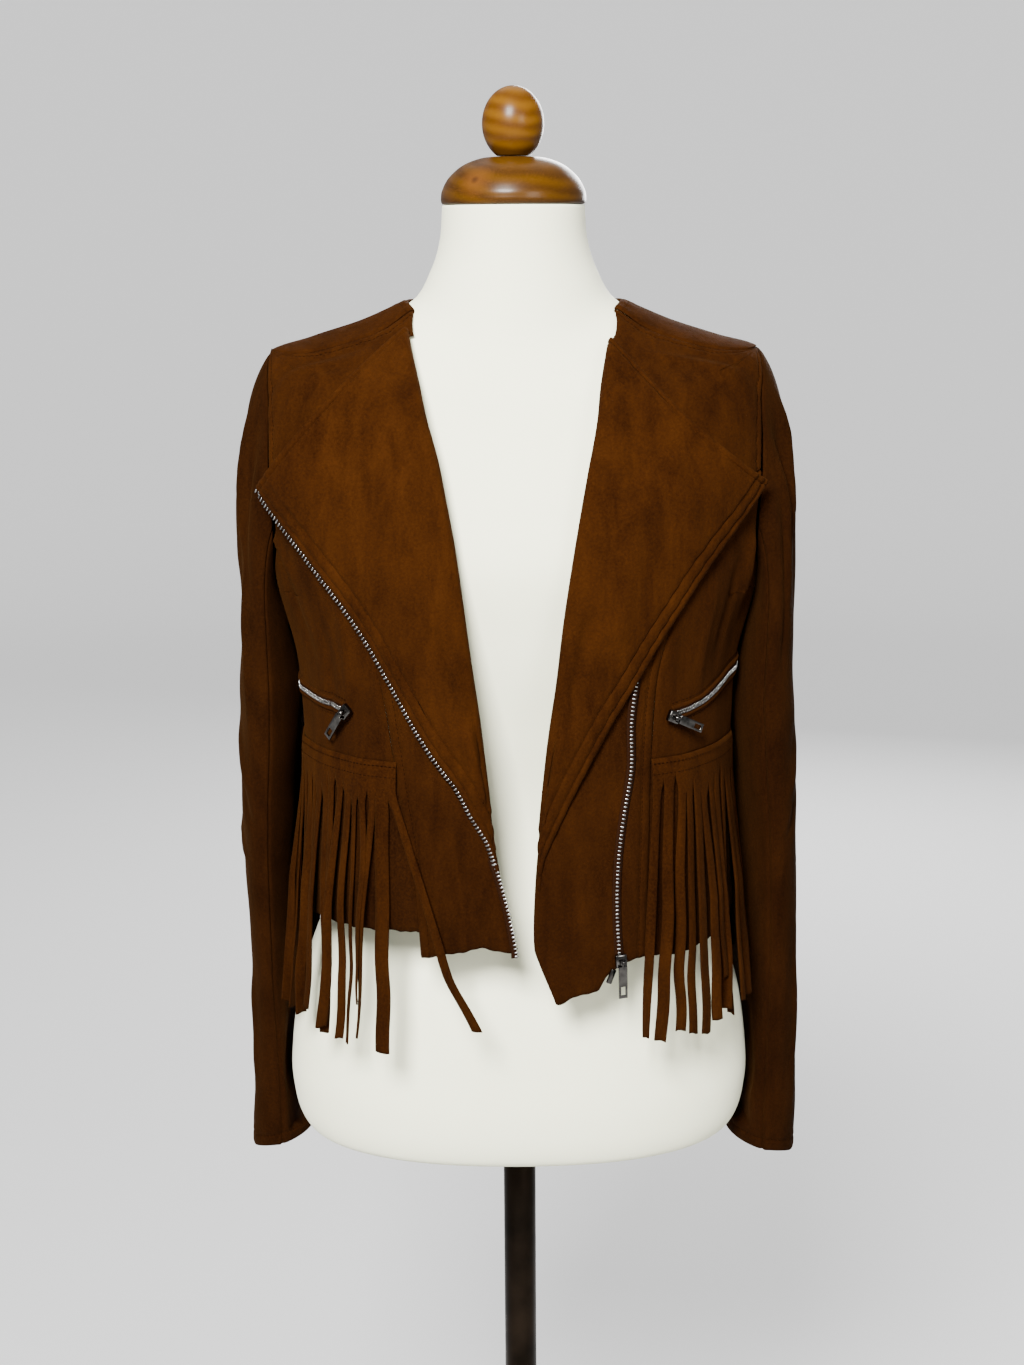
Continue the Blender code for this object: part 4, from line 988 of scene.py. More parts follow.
# angle and height at each end, half width in degrees, depth; angle 0 is outward and 90 the front
SLEEVE_CREASES = {
    "right": [(40, 1195, 72, 1090, 9, 2.0), (62, 1180, 88, 1060, 7, -1.8), (20, 1170, 40, 1060, 8, 1.4),
              (78, 1120, 92, 960, 7, 1.6), (30, 960, 95, 905, 14, 1.3), (40, 925, 100, 880, 12, -1.1),
              (20, 880, 70, 850, 13, 1.0), (60, 760, 70, 660, 9, 1.2), (25, 720, 32, 640, 9, -1.0),
              (-40, 1180, -70, 1070, 10, 1.8), (-60, 1150, -85, 1040, 9, -1.5), (-50, 940, -90, 900, 14, 1.2)],
    "left": [(35, 1200, 62, 1100, 8, 2.2), (55, 1190, 78, 1075, 7, -2.2), (70, 1165, 90, 1040, 6, 2.4),
             (84, 1130, 96, 1000, 6, -1.6), (15, 1150, 30, 1040, 8, 1.2), (35, 950, 90, 900, 13, 1.2),
             (45, 905, 95, 865, 12, -1.0), (62, 800, 68, 640, 8, 1.3), (20, 740, 30, 650, 9, -1.0),
             (-40, 1180, -70, 1070, 10, 1.8), (-60, 1150, -85, 1040, 9, -1.5), (-50, 930, -90, 890, 14, 1.2)],
}


def half_width_at(sections, y, z):
    """Half width of a skin at a depth and height, solved from the superellipse."""
    heights = np.array([row[1] for row in sections], float)
    row = smooth_rows(sections, np.interp(z, heights, np.arange(len(heights))))
    share = np.clip(np.abs(y) / np.where(y < 0, row[..., 2], row[..., 4]), 0, 1)
    return row[..., 0] * (1 - share ** row[..., 6]) ** (1 / row[..., 6])


def sleeve_stop(y, z):
    """How near the middle a sleeve hangs: clear of the form's hips and of the fringe."""
    form = np.where(z > FORM_BOTTOM, half_width_at(FORM_SECTIONS, y, z) + FORM_CLEARANCE, 0)
    clear = np.interp(z, [860, 930, 975, 1010], [FRINGE_CLEARANCE, 5.5, 1.5, 0.5])
    body = np.where(z > FORM_BOTTOM, half_width_at(JACKET_SECTIONS, y, z) + clear, 0)
    return np.maximum(form, np.where(z < 1030, body, 0))


def sleeve_grid(name, side, angles, rows):
    """Each line leaves its point of the armhole and sinks into the tube by an exponential."""
    angle, rows = np.radians(angles), rows[:, None]
    level = ARMHOLE_LEVEL + (ARMHOLE_HALF_HEIGHT - 0.02) * np.cos(angle)
    reach = (ARMHOLE_HALF_TURN - 0.3) * np.sign(np.sin(angle))
    reach = reach * (1 - np.abs(np.cos(angle)) ** ARMHOLE_POWER) ** (1 / ARMHOLE_POWER)
    start = on_jacket(side * (90 - reach), level, 0, False)
    low = SLEEVE[name][0][0] + CUFF_RISE * (1 - np.cos(angle)) / 2
    z = start[:, 2] + (low - start[:, 2]) * rows
    heights = [row[0] for row in SLEEVE[name]]
    tube = smooth_rows(SLEEVE[name], np.interp(z, heights, np.arange(len(heights))))
    inner, outer, front, back = (tube[..., k] for k in range(1, 5))
    turned = angle - np.radians(CROWDING) * np.sin(angle) * np.abs(np.sin(angle))
    inner_front = (np.cos(turned) < 0) & (np.sin(turned) > 0)
    power = np.where(inner_front, INNER_ROUNDING, SLEEVE_ROUNDING)
    x = (outer + inner) / 2 + (outer - inner) / 2 * np.sign(np.cos(turned)) * np.abs(np.cos(turned)) ** power
    y = np.sign(np.sin(turned)) * np.abs(np.sin(turned)) ** power
    y = -np.where(y > 0, front, back) * y + SLEEVE_SWING * rows
    behind = np.clip(-np.sin(turned), 0, 1) * np.clip(-np.cos(turned), 0, 1) * 2
    x = np.maximum(x - BEHIND * behind, sleeve_stop(y, z) + (x - inner) * 0.25)
    settled = 1 - np.exp(-(start[:, 2] - z) / SETTLE)
    x = start[:, 0] * side + (x - start[:, 0] * side) * settled
    y = start[:, 1] + (y - start[:, 1]) * settled
    return np.stack([x * side, y, z], -1)


def sleeve_creases(name, angles, grid):
    """The sum of the sleeve's creases: a bell across each line of angle and height."""
    height = np.zeros(grid.shape[:2])
    for angle_a, z_a, angle_b, z_b, width, depth in SLEEVE_CREASES[name]:
        share = (z_a - grid[..., 2]) / (z_a - z_b)
        away = angles - (angle_a + (angle_b - angle_a) * share)
        away = (away + 180) % 360 - 180
        ends = (np.abs(share - 0.5) / 0.45) ** 4
        height += SLEEVE_CREASE_GAIN * depth * np.exp(-(away / width) ** 2 - ends)
    return height


def make_sleeve(name, side):
    """Top and under piece, seamed along the front and behind, with a stitched cuff."""
    cuff = np.array([0, 0.002, 0.006, 0.012, 0.0155, 0.019, 0.023])
    rows = np.unique(np.concatenate([np.linspace(0, 1, 150), [0.002, 0.006], 1 - cuff]))
    pieces = {"top": (-SLEEVE_SEAM, SLEEVE_SEAM, 76), "under": (SLEEVE_SEAM, 360 - SLEEVE_SEAM, 34)}
    for label, (low, high, count) in pieces.items():
        even = np.linspace(0, 1, count)
        angles = low + (high - low) * (even - 0.75 * np.sin(2 * math.pi * even) / (2 * math.pi))
        grid = sleeve_grid(name, side, angles, rows)
        height = sleeve_creases(name, angles, grid)
        grid, height = (grid[::-1, ::-1], height[::-1, ::-1]) if side > 0 else (grid[::-1], height[::-1])
        grid = grid + grid_normals(grid) * height[..., None]
        grid = sewn(grid, stitched=[("low", CUFF_STITCH)], seed=51 + side, lumps=0.5, tuck=1.1)
        # the sleeve's copy of the suede is painted darker: painted shade
        thing = cloth_piece(f"suede_sleeve_{label}_{name}", grid, [f"sleeve_{label}_{name}"], sleeve_suede_painted_shade)
        cut_sheet(thing, grid)
        stitch_lines["sleeves"].append(line_on(grid, "low", CUFF_STITCH))


print("sleeves, laid flat:")
for label, side in SIDES.items():
    make_sleeve(label, side)

# %% [markdown]
# ## Fringe
# The fringe is one strip of suede, sewn in along its top and slit from below into soft straps. Below
# its slit each strap sways, twists and curls on its own, and the tips are cut unevenly. The strip is
# made strap by strap on common rows: above a slit both neighbours share one line of points, so merging
# makes them one sheet, and below it each keeps its own edge.

# %% Fringe
STRAP_WIDTH, FRINGE_WALL = 8.6, 1.2
# the level below which uneven tips draw the rows up, and the levels over which a slit opens
SPLIT_LEVEL, SLIT_OPENING = 3.41, 0.17
FRINGE_STITCHES = (3.98, 3.86)
FRINGE_ROWS = np.concatenate([np.linspace(4.03, 3.45, 12), np.linspace(SPLIT_LEVEL, 0.05, 58)])
# how far a strap leans, in degrees per level below the slit, by turn
LEAN = {"right": [(-90, 0.5), (-60, 0.4), (-44, 0.1), (-33, 0.3)],
        "left": [(33, -2.1), (44, -1.5), (60, -0.5), (90, 0.0)], "back": [(90, 0.0), (180, 0.1), (270, 0.0)]}


def soft_step(value):
    """0 before 0, 1 after 1, and a smooth cubic between."""
    value = np.clip(value, 0, 1)
    return value * value * (3 - 2 * value)


def strap_bounds(first, last, random):
    """Turns of the slits: straps are about STRAP_WIDTH wide, each a little more or less."""
    share = np.linspace(0, 1, 60)
    turn = first + (last - first) * share
    point = on_jacket(turn, 3.5, 0, False)
    run = np.concatenate([[0], np.cumsum(np.linalg.norm(np.diff(point, axis=0), axis=-1))])
    count = round(run[-1] / STRAP_WIDTH)
    widths = random.uniform(0.72, 1.3, count)
    return np.interp(np.concatenate([[0], np.cumsum(widths)]) / widths.sum() * run[-1], run, turn)


# lean, twist in degrees, tip cut off in levels and share of its width, of the strap that swings out and
# of the broad one beside it
STRAY_STRAP = {"sway": 6.9, "twist": 24, "tip": 0.42, "narrow": 0.72}
BROAD_STRAP = {"sway": 0.55, "twist": 4, "tip": 0.0, "narrow": 1.05}


def draw_straps(name, bounds, random, stray):
    """Each strap's numbers, drawn in turn: its slits' levels, sway, waves, twist, lift, tip and narrowing."""
    count = len(bounds) - 1
    slit = random.uniform(3.62, 3.80, count + 1)
    slit += 0.07 * (random.random(count + 1) < 0.2)
    slit[[0, -1]] = 3.7
    drawn = {"slits": np.stack([slit[:-1], slit[1:]], -1)}
    drawn["sway"] = np.interp(bounds[:-1], *zip(*LEAN[name])) + random.normal(0, 0.55, count)
    drawn["wave"] = random.uniform(-0.8, 0.8, (count, 2))
    drawn["phase"] = random.uniform(0, 6.28, (count, 2))
    drawn["twist"] = random.normal(0, 44, count)
    drawn["lift"] = random.uniform(0.0, 7.0, count)
    drawn["tip"] = random.uniform(-0.01, 0.34, count) + 0.55 * (random.random(count) < 0.08)
    drawn["narrow"] = random.uniform(0.52, 0.84, count)
    if stray is not None:
        for key in STRAY_STRAP:
            drawn[key][stray] = STRAY_STRAP[key]
            drawn[key][stray - 1] = BROAD_STRAP[key]
    return [dict(zip(drawn, numbers)) for numbers in zip(*drawn.values())]


def strap_swing(strap, low, settle):
    """How far open each side's slit is, and how far the side swings in degrees: its lean times the drop
    below the slit, and two sines."""
    apart = [soft_step((slit - low) / SLIT_OPENING) for slit in strap["slits"]]
    slow = strap["wave"][0] * np.sin(low * 2.1 + strap["phase"][0])
    quick = strap["wave"][1] * 0.5 * np.sin(low * 4.3 + strap["phase"][1])
    swing = [strap["sway"] * settle * np.clip(slit - low, 0, 9) + a * (slow + quick)
             for slit, a in zip(strap["slits"], apart)]
    return apart, swing


def strap_grid(k, strap, left, right, settles):
    """One strap as rows by seven points. Across it a point lies at its share of the half width, turned by
    the twist; the two sides' swings blend across it, and below its slit it lifts off the cloth."""
    rows = FRINGE_ROWS
    end = rows[-1] + max(strap["tip"], 0.0)
    low = np.interp(rows, [rows[-1], SPLIT_LEVEL, rows[0]], [end, SPLIT_LEVEL, rows[0]])
    settle = 1.35 - 0.13 * np.clip(3.4 - low, 0, 9) if settles else 1.0
    apart, swing = strap_swing(strap, low, settle)
    middle, half = (left + right) / 2, (right - left) / 2
    turned = np.radians(strap["twist"]) * np.clip((3.5 - low) / 3.2, 0, 1.1) ** 1.1
    share = np.linspace(-1, 1, 7)[None, :]
    near = apart[0][:, None] * (1 - share) / 2 + apart[1][:, None] * (1 + share) / 2
    width = 1 - (1 - strap["narrow"]) * near
    lateral = share * half * width * (1 - near + near * np.cos(turned)[:, None])
    sides = swing[0][:, None] * (1 - share) / 2 + swing[1][:, None] * (1 + share) / 2
    rise = strap["lift"] * near * np.clip((3.6 - low) / 1.2, 0, 1)[:, None]
    rise = rise + share * half * 2.6 * np.sin(turned)[:, None] * near
    rise = rise - 0.5 * near * share ** 2
    base = 0.2 + 1.7 * (1 - np.exp(-(rows[0] - low) / 0.07)) + 0.85 * (rows[0] - low)
    ragged = 0.02 * np.sin(share * 2.4 + k) * np.clip((0.6 - low) / 0.5, 0, 1)[:, None]
    level = np.clip(low[:, None] + ragged, 0.05, 9)
    point = on_jacket(middle + lateral + sides, level, base[:, None] + np.maximum(rise, -1.0))
    drop = (rows[0] - rows) / (rows[0] - rows[-1])
    point[..., 2] -= (max(-strap["tip"], 0) * 60 + 3 * (k % 3)) * drop[:, None] ** 3 * near
    return point


def fringe_grids(name, first, last, seed, stray=None):
    """Every strap as rows by seven points; shape: strap, row, point, place."""
    random = np.random.default_rng(seed)
    bounds = strap_bounds(first, last, random)
    straps = draw_straps(name, bounds, random, stray)
    # the swing of the stray strap, or else of the first, eases off as it falls
    settling = (stray or 0) % len(straps)
    return np.array([strap_grid(k, strap, bounds[k], bounds[k + 1], k == settling)
                     for k, strap in enumerate(straps)])


def make_fringe(name, first, last, seed, stray=None):
    """Joins the straps where they aren't slit yet, and thickens the strip."""
    grids = fringe_grids(name, first, last, seed, stray)
    count, rows, points, _ = grids.shape
    faces = np.concatenate([grid_faces(rows, points)[:, ::-1] + k * rows * points for k in range(count)])
    thing = mesh_from(f"suede_fringe_{name}", grids * MM, faces)
    weld = thing.modifiers.new("weld", "WELD")
    weld.merge_threshold = 0.00004
    thing.data.materials.append(fringe_suede)
    solidify = thing.modifiers.new("wall", "SOLIDIFY")
    solidify.thickness = FRINGE_WALL * MM
    solidify.offset = 0.0
    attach(thing, BODY)
    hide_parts(f"fringe_{name}")
    turn = np.linspace(first, last, 60)
    for level in FRINGE_STITCHES:
        line = on_jacket(turn, level, 0.5 + CLOTH + 0.7)
        stitch_lines["fringe"].append((line, outward(JACKET_SECTIONS, turn, np.full(60, level))))
    return thing


print("fringe:")
inner_right = float(seam_turn(PRINCESS_SEAM["right"], -1, 3.8))
inner_left = float(seam_turn(PRINCESS_SEAM["left"], 1, 3.8))
make_fringe("right", -90.0, inner_right, 61, stray=-1)
make_fringe("left", inner_left, 90.0, 62)
make_fringe("back", 90.0, 270.0, 63)

# %% [markdown]
# ## Rows of small parts
# Stitches and zip teeth are the same task: one small shape repeated along a line. The line is cut into
# equal steps, each step gives a place and three directions, and the shape's points are spread over all
# of them at once with arrays. They become one mesh.

# %% Rows


def resample(line, normal, pitch):
    """Places at equal steps along a line, with the direction along it, its normal and across it."""
    run = np.concatenate([[0], np.cumsum(np.linalg.norm(np.diff(line, axis=0), axis=-1))])
    at = np.arange(pitch / 2, run[-1], pitch)
    both = np.hstack([line, normal])
    place = np.stack([np.interp(at, run, both[:, k]) for k in range(6)], -1)
    ahead = np.stack([np.interp(at + 0.3, run, line[:, k]) - np.interp(at - 0.3, run, line[:, k])
                      for k in range(3)], -1)
    along = unit(ahead)
    out = unit(place[:, 3:] - (place[:, 3:] * along).sum(-1, keepdims=True) * along)
    return place[:, :3], along, out, np.cross(out, along)


def bead_shape(rings, sides, square):
    """A rod from -1 to 1 along x with ring radii; `square` over 1 makes its section a rounded box."""
    angle = (np.arange(sides) + 0.5) * 2 * math.pi / sides
    power = 1 / square
    wide = np.sign(np.cos(angle)) * np.abs(np.cos(angle)) ** power
    high = np.sign(np.sin(angle)) * np.abs(np.sin(angle)) ** power
    x = np.linspace(-1, 1, len(rings))
    points = [np.stack([np.full(sides, place), radius * wide, radius * high], -1)
              for place, radius in zip(x, rings)]
    faces = [list(face) for face in grid_faces(len(rings), sides, wrap=True)[:, ::-1]]
    caps = [list(range(sides)), [(len(rings) - 1) * sides + k for k in range(sides)][::-1]]
    return np.concatenate(points), faces + caps


def bead_points(shape, place, axes, half):
    """The shape's points, scaled by half its size, at each place: shape (places, points, 3)."""
    spread = sum(shape[None, :, k, None] * half[k] * axes[k][:, None, :] for k in range(3))
    return place[:, None, :] + spread


def bead_mesh(name, groups, faces, points, material, smooth=True):
    """All the shapes of several groups as one mesh."""
    places = np.concatenate(groups)
    every = [[corner + k * points for corner in face] for k in range(len(places)) for face in faces]
    thing = mesh_from(name, places * MM, every, smooth)
    thing.data.materials.append(material)
    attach(thing, BODY)
    return thing


STITCH_SUNK = 0.05


def make_stitches(name, lines, pitch=3.3, length=2.3, thick=0.5):
    """Lock stitches: short rounded threads lying along each line, half sunk in the cloth."""
    shape, faces = bead_shape([0.35, 1.0, 1.0, 0.35], 5, 1.0)
    groups = []
    for line, normal in lines:
        place, along, out, across = resample(line, normal, pitch)
        half = (length / 2, thick / 2, thick / 2)
        groups.append(bead_points(shape, place - out * STITCH_SUNK, (along, across, out), half))
    # the thread's colour is painted dark to draw the shade along seams and edges
    thing = bead_mesh(name, groups, faces, len(shape), thread_brown_and_seam_shade)
    print(f"  {name}: {sum(len(g) for g in groups)} stitches")
    return thing


# %% [markdown]
# ## Zips
# The jacket's main zip is open: one half follows the right lapel's free edge and the front edge below
# it, the other stands in the left front. The pocket zips are closed. Each half is a narrow woven tape
# with metal teeth clamped on its rim.

# %% Zip materials


def woven_material(name, dark, light):
    """Tape: a fine twill, one diagonal wave between two browns, which is its relief as well."""
    material, tree, shader, place = shader_of(name)
    wave = node(tree, "ShaderNodeTexWave", bands_direction="DIAGONAL")
    wave.inputs["Scale"].default_value = 420
    wave.inputs["Distortion"].default_value = 1.5
    tree.links.new(place, wave.inputs["Vector"])
    colour = blend_colours(tree, wave.outputs["Fac"], (*dark, 1), (*light, 1))
    tree.links.new(colour, shader.inputs["Base Color"])
    bump(tree, shader, wave.outputs["Fac"], 0.00015, 0.8)
    shader.inputs["Roughness"].default_value = 0.95
    shader.inputs["Specular IOR Level"].default_value = 0.05
    return material


def wear_group():
    """Handling marks: soft patches and fine scratches; gives a mask and a small height."""
    group = bpy.data.node_groups.new("handling_marks", "ShaderNodeTree")
    group_socket(group, "Place", "NodeSocketVector", "INPUT")
    group_socket(group, "Patch Size", "NodeSocketFloat", "INPUT", 60.0)
    group_socket(group, "Mask", "NodeSocketFloat", "OUTPUT")
    group_socket(group, "Height", "NodeSocketFloat", "OUTPUT")
    inside, outside = group.nodes.new("NodeGroupInput"), group.nodes.new("NodeGroupOutput")
    place = inside.outputs["Place"]
    patch = node(group, "ShaderNodeTexNoise")
    patch.inputs["Detail"].default_value = 4
    group.links.new(place, patch.inputs["Vector"])
    group.links.new(inside.outputs["Patch Size"], patch.inputs["Scale"])
    scratch = remap(group, noise(group, place, 900, 4, 0.7, 1.2), 0.35, 0.65)
    group.links.new(remap(group, patch.outputs["Fac"], 0.35, 0.68), outside.inputs["Mask"])
    group.links.new(scratch, outside.inputs["Height"])
    return group


MARKS = wear_group()


def marked_metal(name, bright, dull, rough_low, rough_high, patch_size):
    """Metal with handling marks in its colour, roughness and height."""
    material, tree, shader, place = shader_of(name)
    marks = node(tree, "ShaderNodeGroup", node_tree=MARKS)
    tree.links.new(place, marks.inputs["Place"])
    marks.inputs["Patch Size"].default_value = patch_size
    colour = blend_colours(tree, marks.outputs["Mask"], (*bright, 1), (*dull, 1))
    roughness = remap(tree, marks.outputs["Mask"], 0, 1, rough_low, rough_high)
    tree.links.new(colour, shader.inputs["Base Color"])
    tree.links.new(roughness, shader.inputs["Roughness"])
    bump(tree, shader, marks.outputs["Height"], 0.00002, 0.4)
    shader.inputs["Metallic"].default_value = 1.0
    return material


zip_tape = woven_material("zip_tape", (0.005, 0.0015, 0.0004), (0.017, 0.0050, 0.0010))
silver_teeth = marked_metal("silver_teeth", (0.56, 0.55, 0.53), (0.10, 0.095, 0.09), 0.20, 0.36, 420)
dark_nickel = marked_metal("dark_nickel", (0.115, 0.108, 0.10), (0.035, 0.032, 0.030), 0.14, 0.30, 180)

# %% Zip halves


def front_line(points, side, shift=0.0, out=0.0, count=90):
    """A line on the skin through distance-and-height points, moved beside itself by `shift`."""
    along = smooth_rows(points, np.linspace(0, len(points) - 1, count))
    line = np.stack([along[:, 0] * side, along[:, 1]], -1)
    tangent = unit(np.gradient(line, axis=0))
    line = line + np.stack([-tangent[:, 1], tangent[:, 0]], -1) * shift
    turn, level = locate(line[:, 0], line[:, 1])
    return on_jacket(turn, level, out), outward(JACKET_SECTIONS, turn, level)


def band_piece(name, lines, material, nodes=(), wall=0.6):
    """A strip whose columns are lines, turned to face outward, with a thin wall."""
    grid = np.stack(lines, 1)
    normal = grid_normals(grid)
    facing = (normal[..., 0] * grid[..., 0] + normal[..., 1] * grid[..., 1]).sum()
    grid = grid if facing > 0 else grid[:, ::-1]
    thing = mesh_from(name, grid * MM, grid_faces(*grid.shape[:2]))
    thing.data.materials.append(material)
    solidify = thing.modifiers.new("wall", "SOLIDIFY")
    solidify.thickness = wall * MM
    solidify.offset = 0.0
    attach(thing, BODY)
    if nodes:
        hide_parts(*nodes)
    return thing


TOOTH, TOOTH_FACES = bead_shape([0.7, 1.0, 1.0, 0.8], 8, 2.2)


def teeth_on(line, normal, pitch, size, lean=0.0):
    """Teeth across a line: `size` is their length across, width along and height out."""
    place, along, out, across = resample(line, normal, pitch)
    length, width, height = size
    half = (length / 2, width / 2, height / 2)
    return bead_points(TOOTH, place + across * lean, (across, along, out), half)


def lapel_rim(grid, side, beyond, out):
    """A line beyond a lapel's free edge, in the plane of the lapel's rim."""
    edge, inside = (grid[:, -1], grid[:, -4]) if side > 0 else (grid[:, 0], grid[:, 3])
    away = unit(edge - inside)
    upward = unit(np.gradient(edge, axis=0))
    normal = unit(np.cross(away, upward) * side)
    normal = normal * np.sign((normal * edge * [1, 1, 0]).sum(-1, keepdims=True))
    return edge + away * beyond + normal * out, normal


# the teeth's pitch, and each row's tooth: its length across, width along and height out (millimetres)
TOOTH_PITCH = 2.9
LAPEL_TOOTH, EDGE_TOOTH, LEFT_TOOTH = (4.0, 1.25, 1.3), (3.0, 1.25, 1.3), (2.6, 1.3, 1.3)
# distance from the centre line and height of each point, from the top down (millimetres)
EDGE_ZIP = [(18.6, 885), (15.2, 874), (11.6, 861), (7, 841), (3, 819), (2.4, 812)]
LEFT_ZIP = [(85, 1019), (84, 1013), (80, 982), (80, 947), (75, 915), (71, 882), (70, 846), (72, 808)]


def lapel_zip():
    """The tape beyond the right lapel's free edge, drawn in where it nears the front edge, and its teeth."""
    grid = lapels["right"][7:]
    joined = np.interp(grid[:, 0, 2:], [880, 925], [0.1, 1.0])
    lines = [lapel_rim(grid, -1, shift * joined, 0.35)[0] for shift in (-1.5, 0.5, 2.2, 3.6)]
    band_piece("zip_tape_lapel", lines, zip_tape, ["zip_lapel_right"])
    line, normal = lapel_rim(grid, -1, 2.6 * joined, 0.6)
    return teeth_on(line, normal, TOOTH_PITCH, LAPEL_TOOTH)


def edge_zip():
    """The right half's last stretch, on the front edge below the lapel."""
    lines = [front_line(EDGE_ZIP, -1, shift, 0.4)[0] for shift in (-3.0, -1.5, 0.2, 1.4)]
    band_piece("zip_tape_edge", lines, zip_tape, ["zip_edge_right"])
    line, normal = front_line(EDGE_ZIP, -1, 0.9, 0.9)
    return teeth_on(line, normal, TOOTH_PITCH, EDGE_TOOTH)


def left_zip():
    """The left half, set in the front and raised along its middle."""
    lines = [front_line(LEFT_ZIP, 1, shift, 0.75 + 0.5 * (1 - abs(shift) / 4))[0]
             for shift in (-3, -1.5, 0, 1.5, 3)]
    band_piece("zip_tape_left", lines, zip_tape, ["zip_front_left"])
    line, normal = front_line(LEFT_ZIP, 1, 0, 1.9)
    return teeth_on(line, normal, TOOTH_PITCH, LEFT_TOOTH)


def main_zip():
    """Both halves of the open zip, with all their teeth in one mesh."""
    teeth = [lapel_zip(), edge_zip(), left_zip()]
    thing = bead_mesh("zip_teeth_main", teeth, TOOTH_FACES, len(TOOTH), silver_teeth)
    print("  main zip:", sum(len(t) for t in teeth), "teeth")
    return thing


def piped(points, side, low, high, name):
    """A folded lip beside a zip: a half-round ridge between two distances from the line."""
    share = np.linspace(0, 1, 7)
    rise = 0.25 + 1.25 * np.sin(math.pi * share) ** 0.7
    lines = [front_line(points, side, low + (high - low) * s, r)[0] for s, r in zip(share, rise)]
    return band_piece(name, lines, suede, wall=0.8)


POCKET_ZIP = {
    "right": [(164, 996), (155, 990), (144, 988), (133, 987), (122, 985)],
    "left": [(166, 1009), (154, 999), (137, 989), (123, 985), (110, 983)],
}


# the pocket teeth's pitch, size and place beside the line; where the lips start and end, the frame's stitches
POCKET_PITCH, POCKET_TOOTH, POCKET_LEAN = 1.5, (1.5, 0.7, 0.9), 0.95
LIP_FROM, LIP_TO, FRAME_STITCH = 2.3, 5.2, 7.4


def pocket_zips():
    """Both rows of teeth closed in each other, lips above and below, a stitched frame round them."""
    teeth = []
    for name, side in SIDES.items():
        points = POCKET_ZIP[name]
        lines = [front_line(points, side, shift, 0.7)[0] for shift in (-2.4, -1, 1, 2.4)]
        band_piece(f"zip_tape_pocket_{name}", lines, zip_tape, [f"zip_pocket_{name}"])
        line, normal = front_line(points, side, 0, 1.6)
        teeth.append(teeth_on(line, normal, POCKET_PITCH, POCKET_TOOTH, POCKET_LEAN))
        teeth.append(teeth_on(line[1:], normal[1:], POCKET_PITCH, POCKET_TOOTH, -POCKET_LEAN))
        ahead, behind = ("upper", "lower") if side > 0 else ("lower", "upper")
        piped(points, side, LIP_FROM, LIP_TO, f"pocket_lip_{ahead}_{name}")
        piped(points, side, -LIP_FROM, -LIP_TO, f"pocket_lip_{behind}_{name}")
        for shift in (FRAME_STITCH, -FRAME_STITCH):
            stitch_lines["body"].append(front_line(points, side, shift, 0.25))
    bead_mesh("zip_teeth_pockets", teeth, TOOTH_FACES, len(TOOTH), silver_teeth)
    print("  pocket zips:", sum(len(t) for t in teeth), "teeth")


print("zips and stitches:")
main_zip()
pocket_zips()
for label, lines in stitch_lines.items():
    make_stitches(f"topstitch_{label}", lines)

# %% [markdown]
# ## Sliders and pulls
# These are small castings. Their solids already have the right form, so each is copied, its loose
# triangles are joined into faces, and a Bevel rounds the edges that a polishing drum would round.

# %% Polished hardware


def polished(node_name, body, material, width):
    """A copy of a plain solid with its triangles joined and its sharp edges rounded."""
    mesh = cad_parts[node_name].data.copy()
    build = bmesh.new()
    build.from_mesh(mesh)
    bmesh.ops.remove_doubles(build, verts=build.verts, dist=1e-6)
    bmesh.ops.dissolve_limit(build, angle_limit=math.radians(2), verts=build.verts, edges=build.edges)
    build.to_mesh(mesh)
    build.free()
    mesh.name = f"polished_{node_name}"
    thing = bpy.data.objects.new(f"polished_{node_name}", mesh)
    bpy.context.scene.collection.objects.link(thing)
    mesh.materials.clear()
    mesh.materials.append(material)
    bevel = thing.modifiers.new("rounded", "BEVEL")
    bevel.width = width * MM
    bevel.segments = 3
    bevel.limit_method = "ANGLE"
    bevel.angle_limit = math.radians(35)
    mesh.shade_smooth()
    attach(thing, body)
    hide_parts(node_name)
    return thing


PULL_BODIES = {"main": "main_pull", "pocket_right": "right_pocket_pull", "pocket_left": "left_pocket_pull"}
for label, pull_body in PULL_BODIES.items():
    polished(f"slider_{label}", BODY, dark_nickel, 0.3)
    polished(f"pull_{label}", pull_body, dark_nickel, 0.22)
polished("zip_box", BODY, dark_nickel, 0.25)
print("hardware:", 2 * len(PULL_BODIES) + 1, "pieces")

# %% [markdown]
# ## The dress form
# The form is a padded torso under tight cream jersey, closed at the neck by a turned wooden cap with an
# egg-shaped finial, on a dark metal pole. The torso is one skin of sections; wood and metal pieces are
# turned, so each is a profile of radius and height carried round the axis.

# %% Form materials


def jersey_material():
    """Knit: courses under a millimetre apart over a fine grain, with faint warm clouds from handling."""
    material, tree, shader, place = shader_of("cream_jersey")
    grain = noise(tree, place, 2600, 1, 0.5)
    weave = node(tree, "ShaderNodeTexWave", bands_direction="Z")
    weave.inputs["Scale"].default_value = 420
    weave.inputs["Distortion"].default_value = 2.0
    weave.inputs["Detail"].default_value = 1.0
    tree.links.new(place, weave.inputs["Vector"])
    cloud = remap(tree, noise(tree, place, 7, 3, 0.5), 0.35, 0.7)
    colour = blend_colours(tree, cloud, (0.89, 0.89, 0.64, 1), (0.93, 0.93, 0.68, 1))
    tree.links.new(colour, shader.inputs["Base Color"])
    bump(tree, shader, arithmetic(tree, "ADD", grain, weave.outputs["Fac"]), 0.0001, 0.35)
    shader.inputs["Roughness"].default_value = 0.85
    shader.inputs["Specular IOR Level"].default_value = 0.2
    shader.inputs["Sheen Weight"].default_value = 0.15
    return material


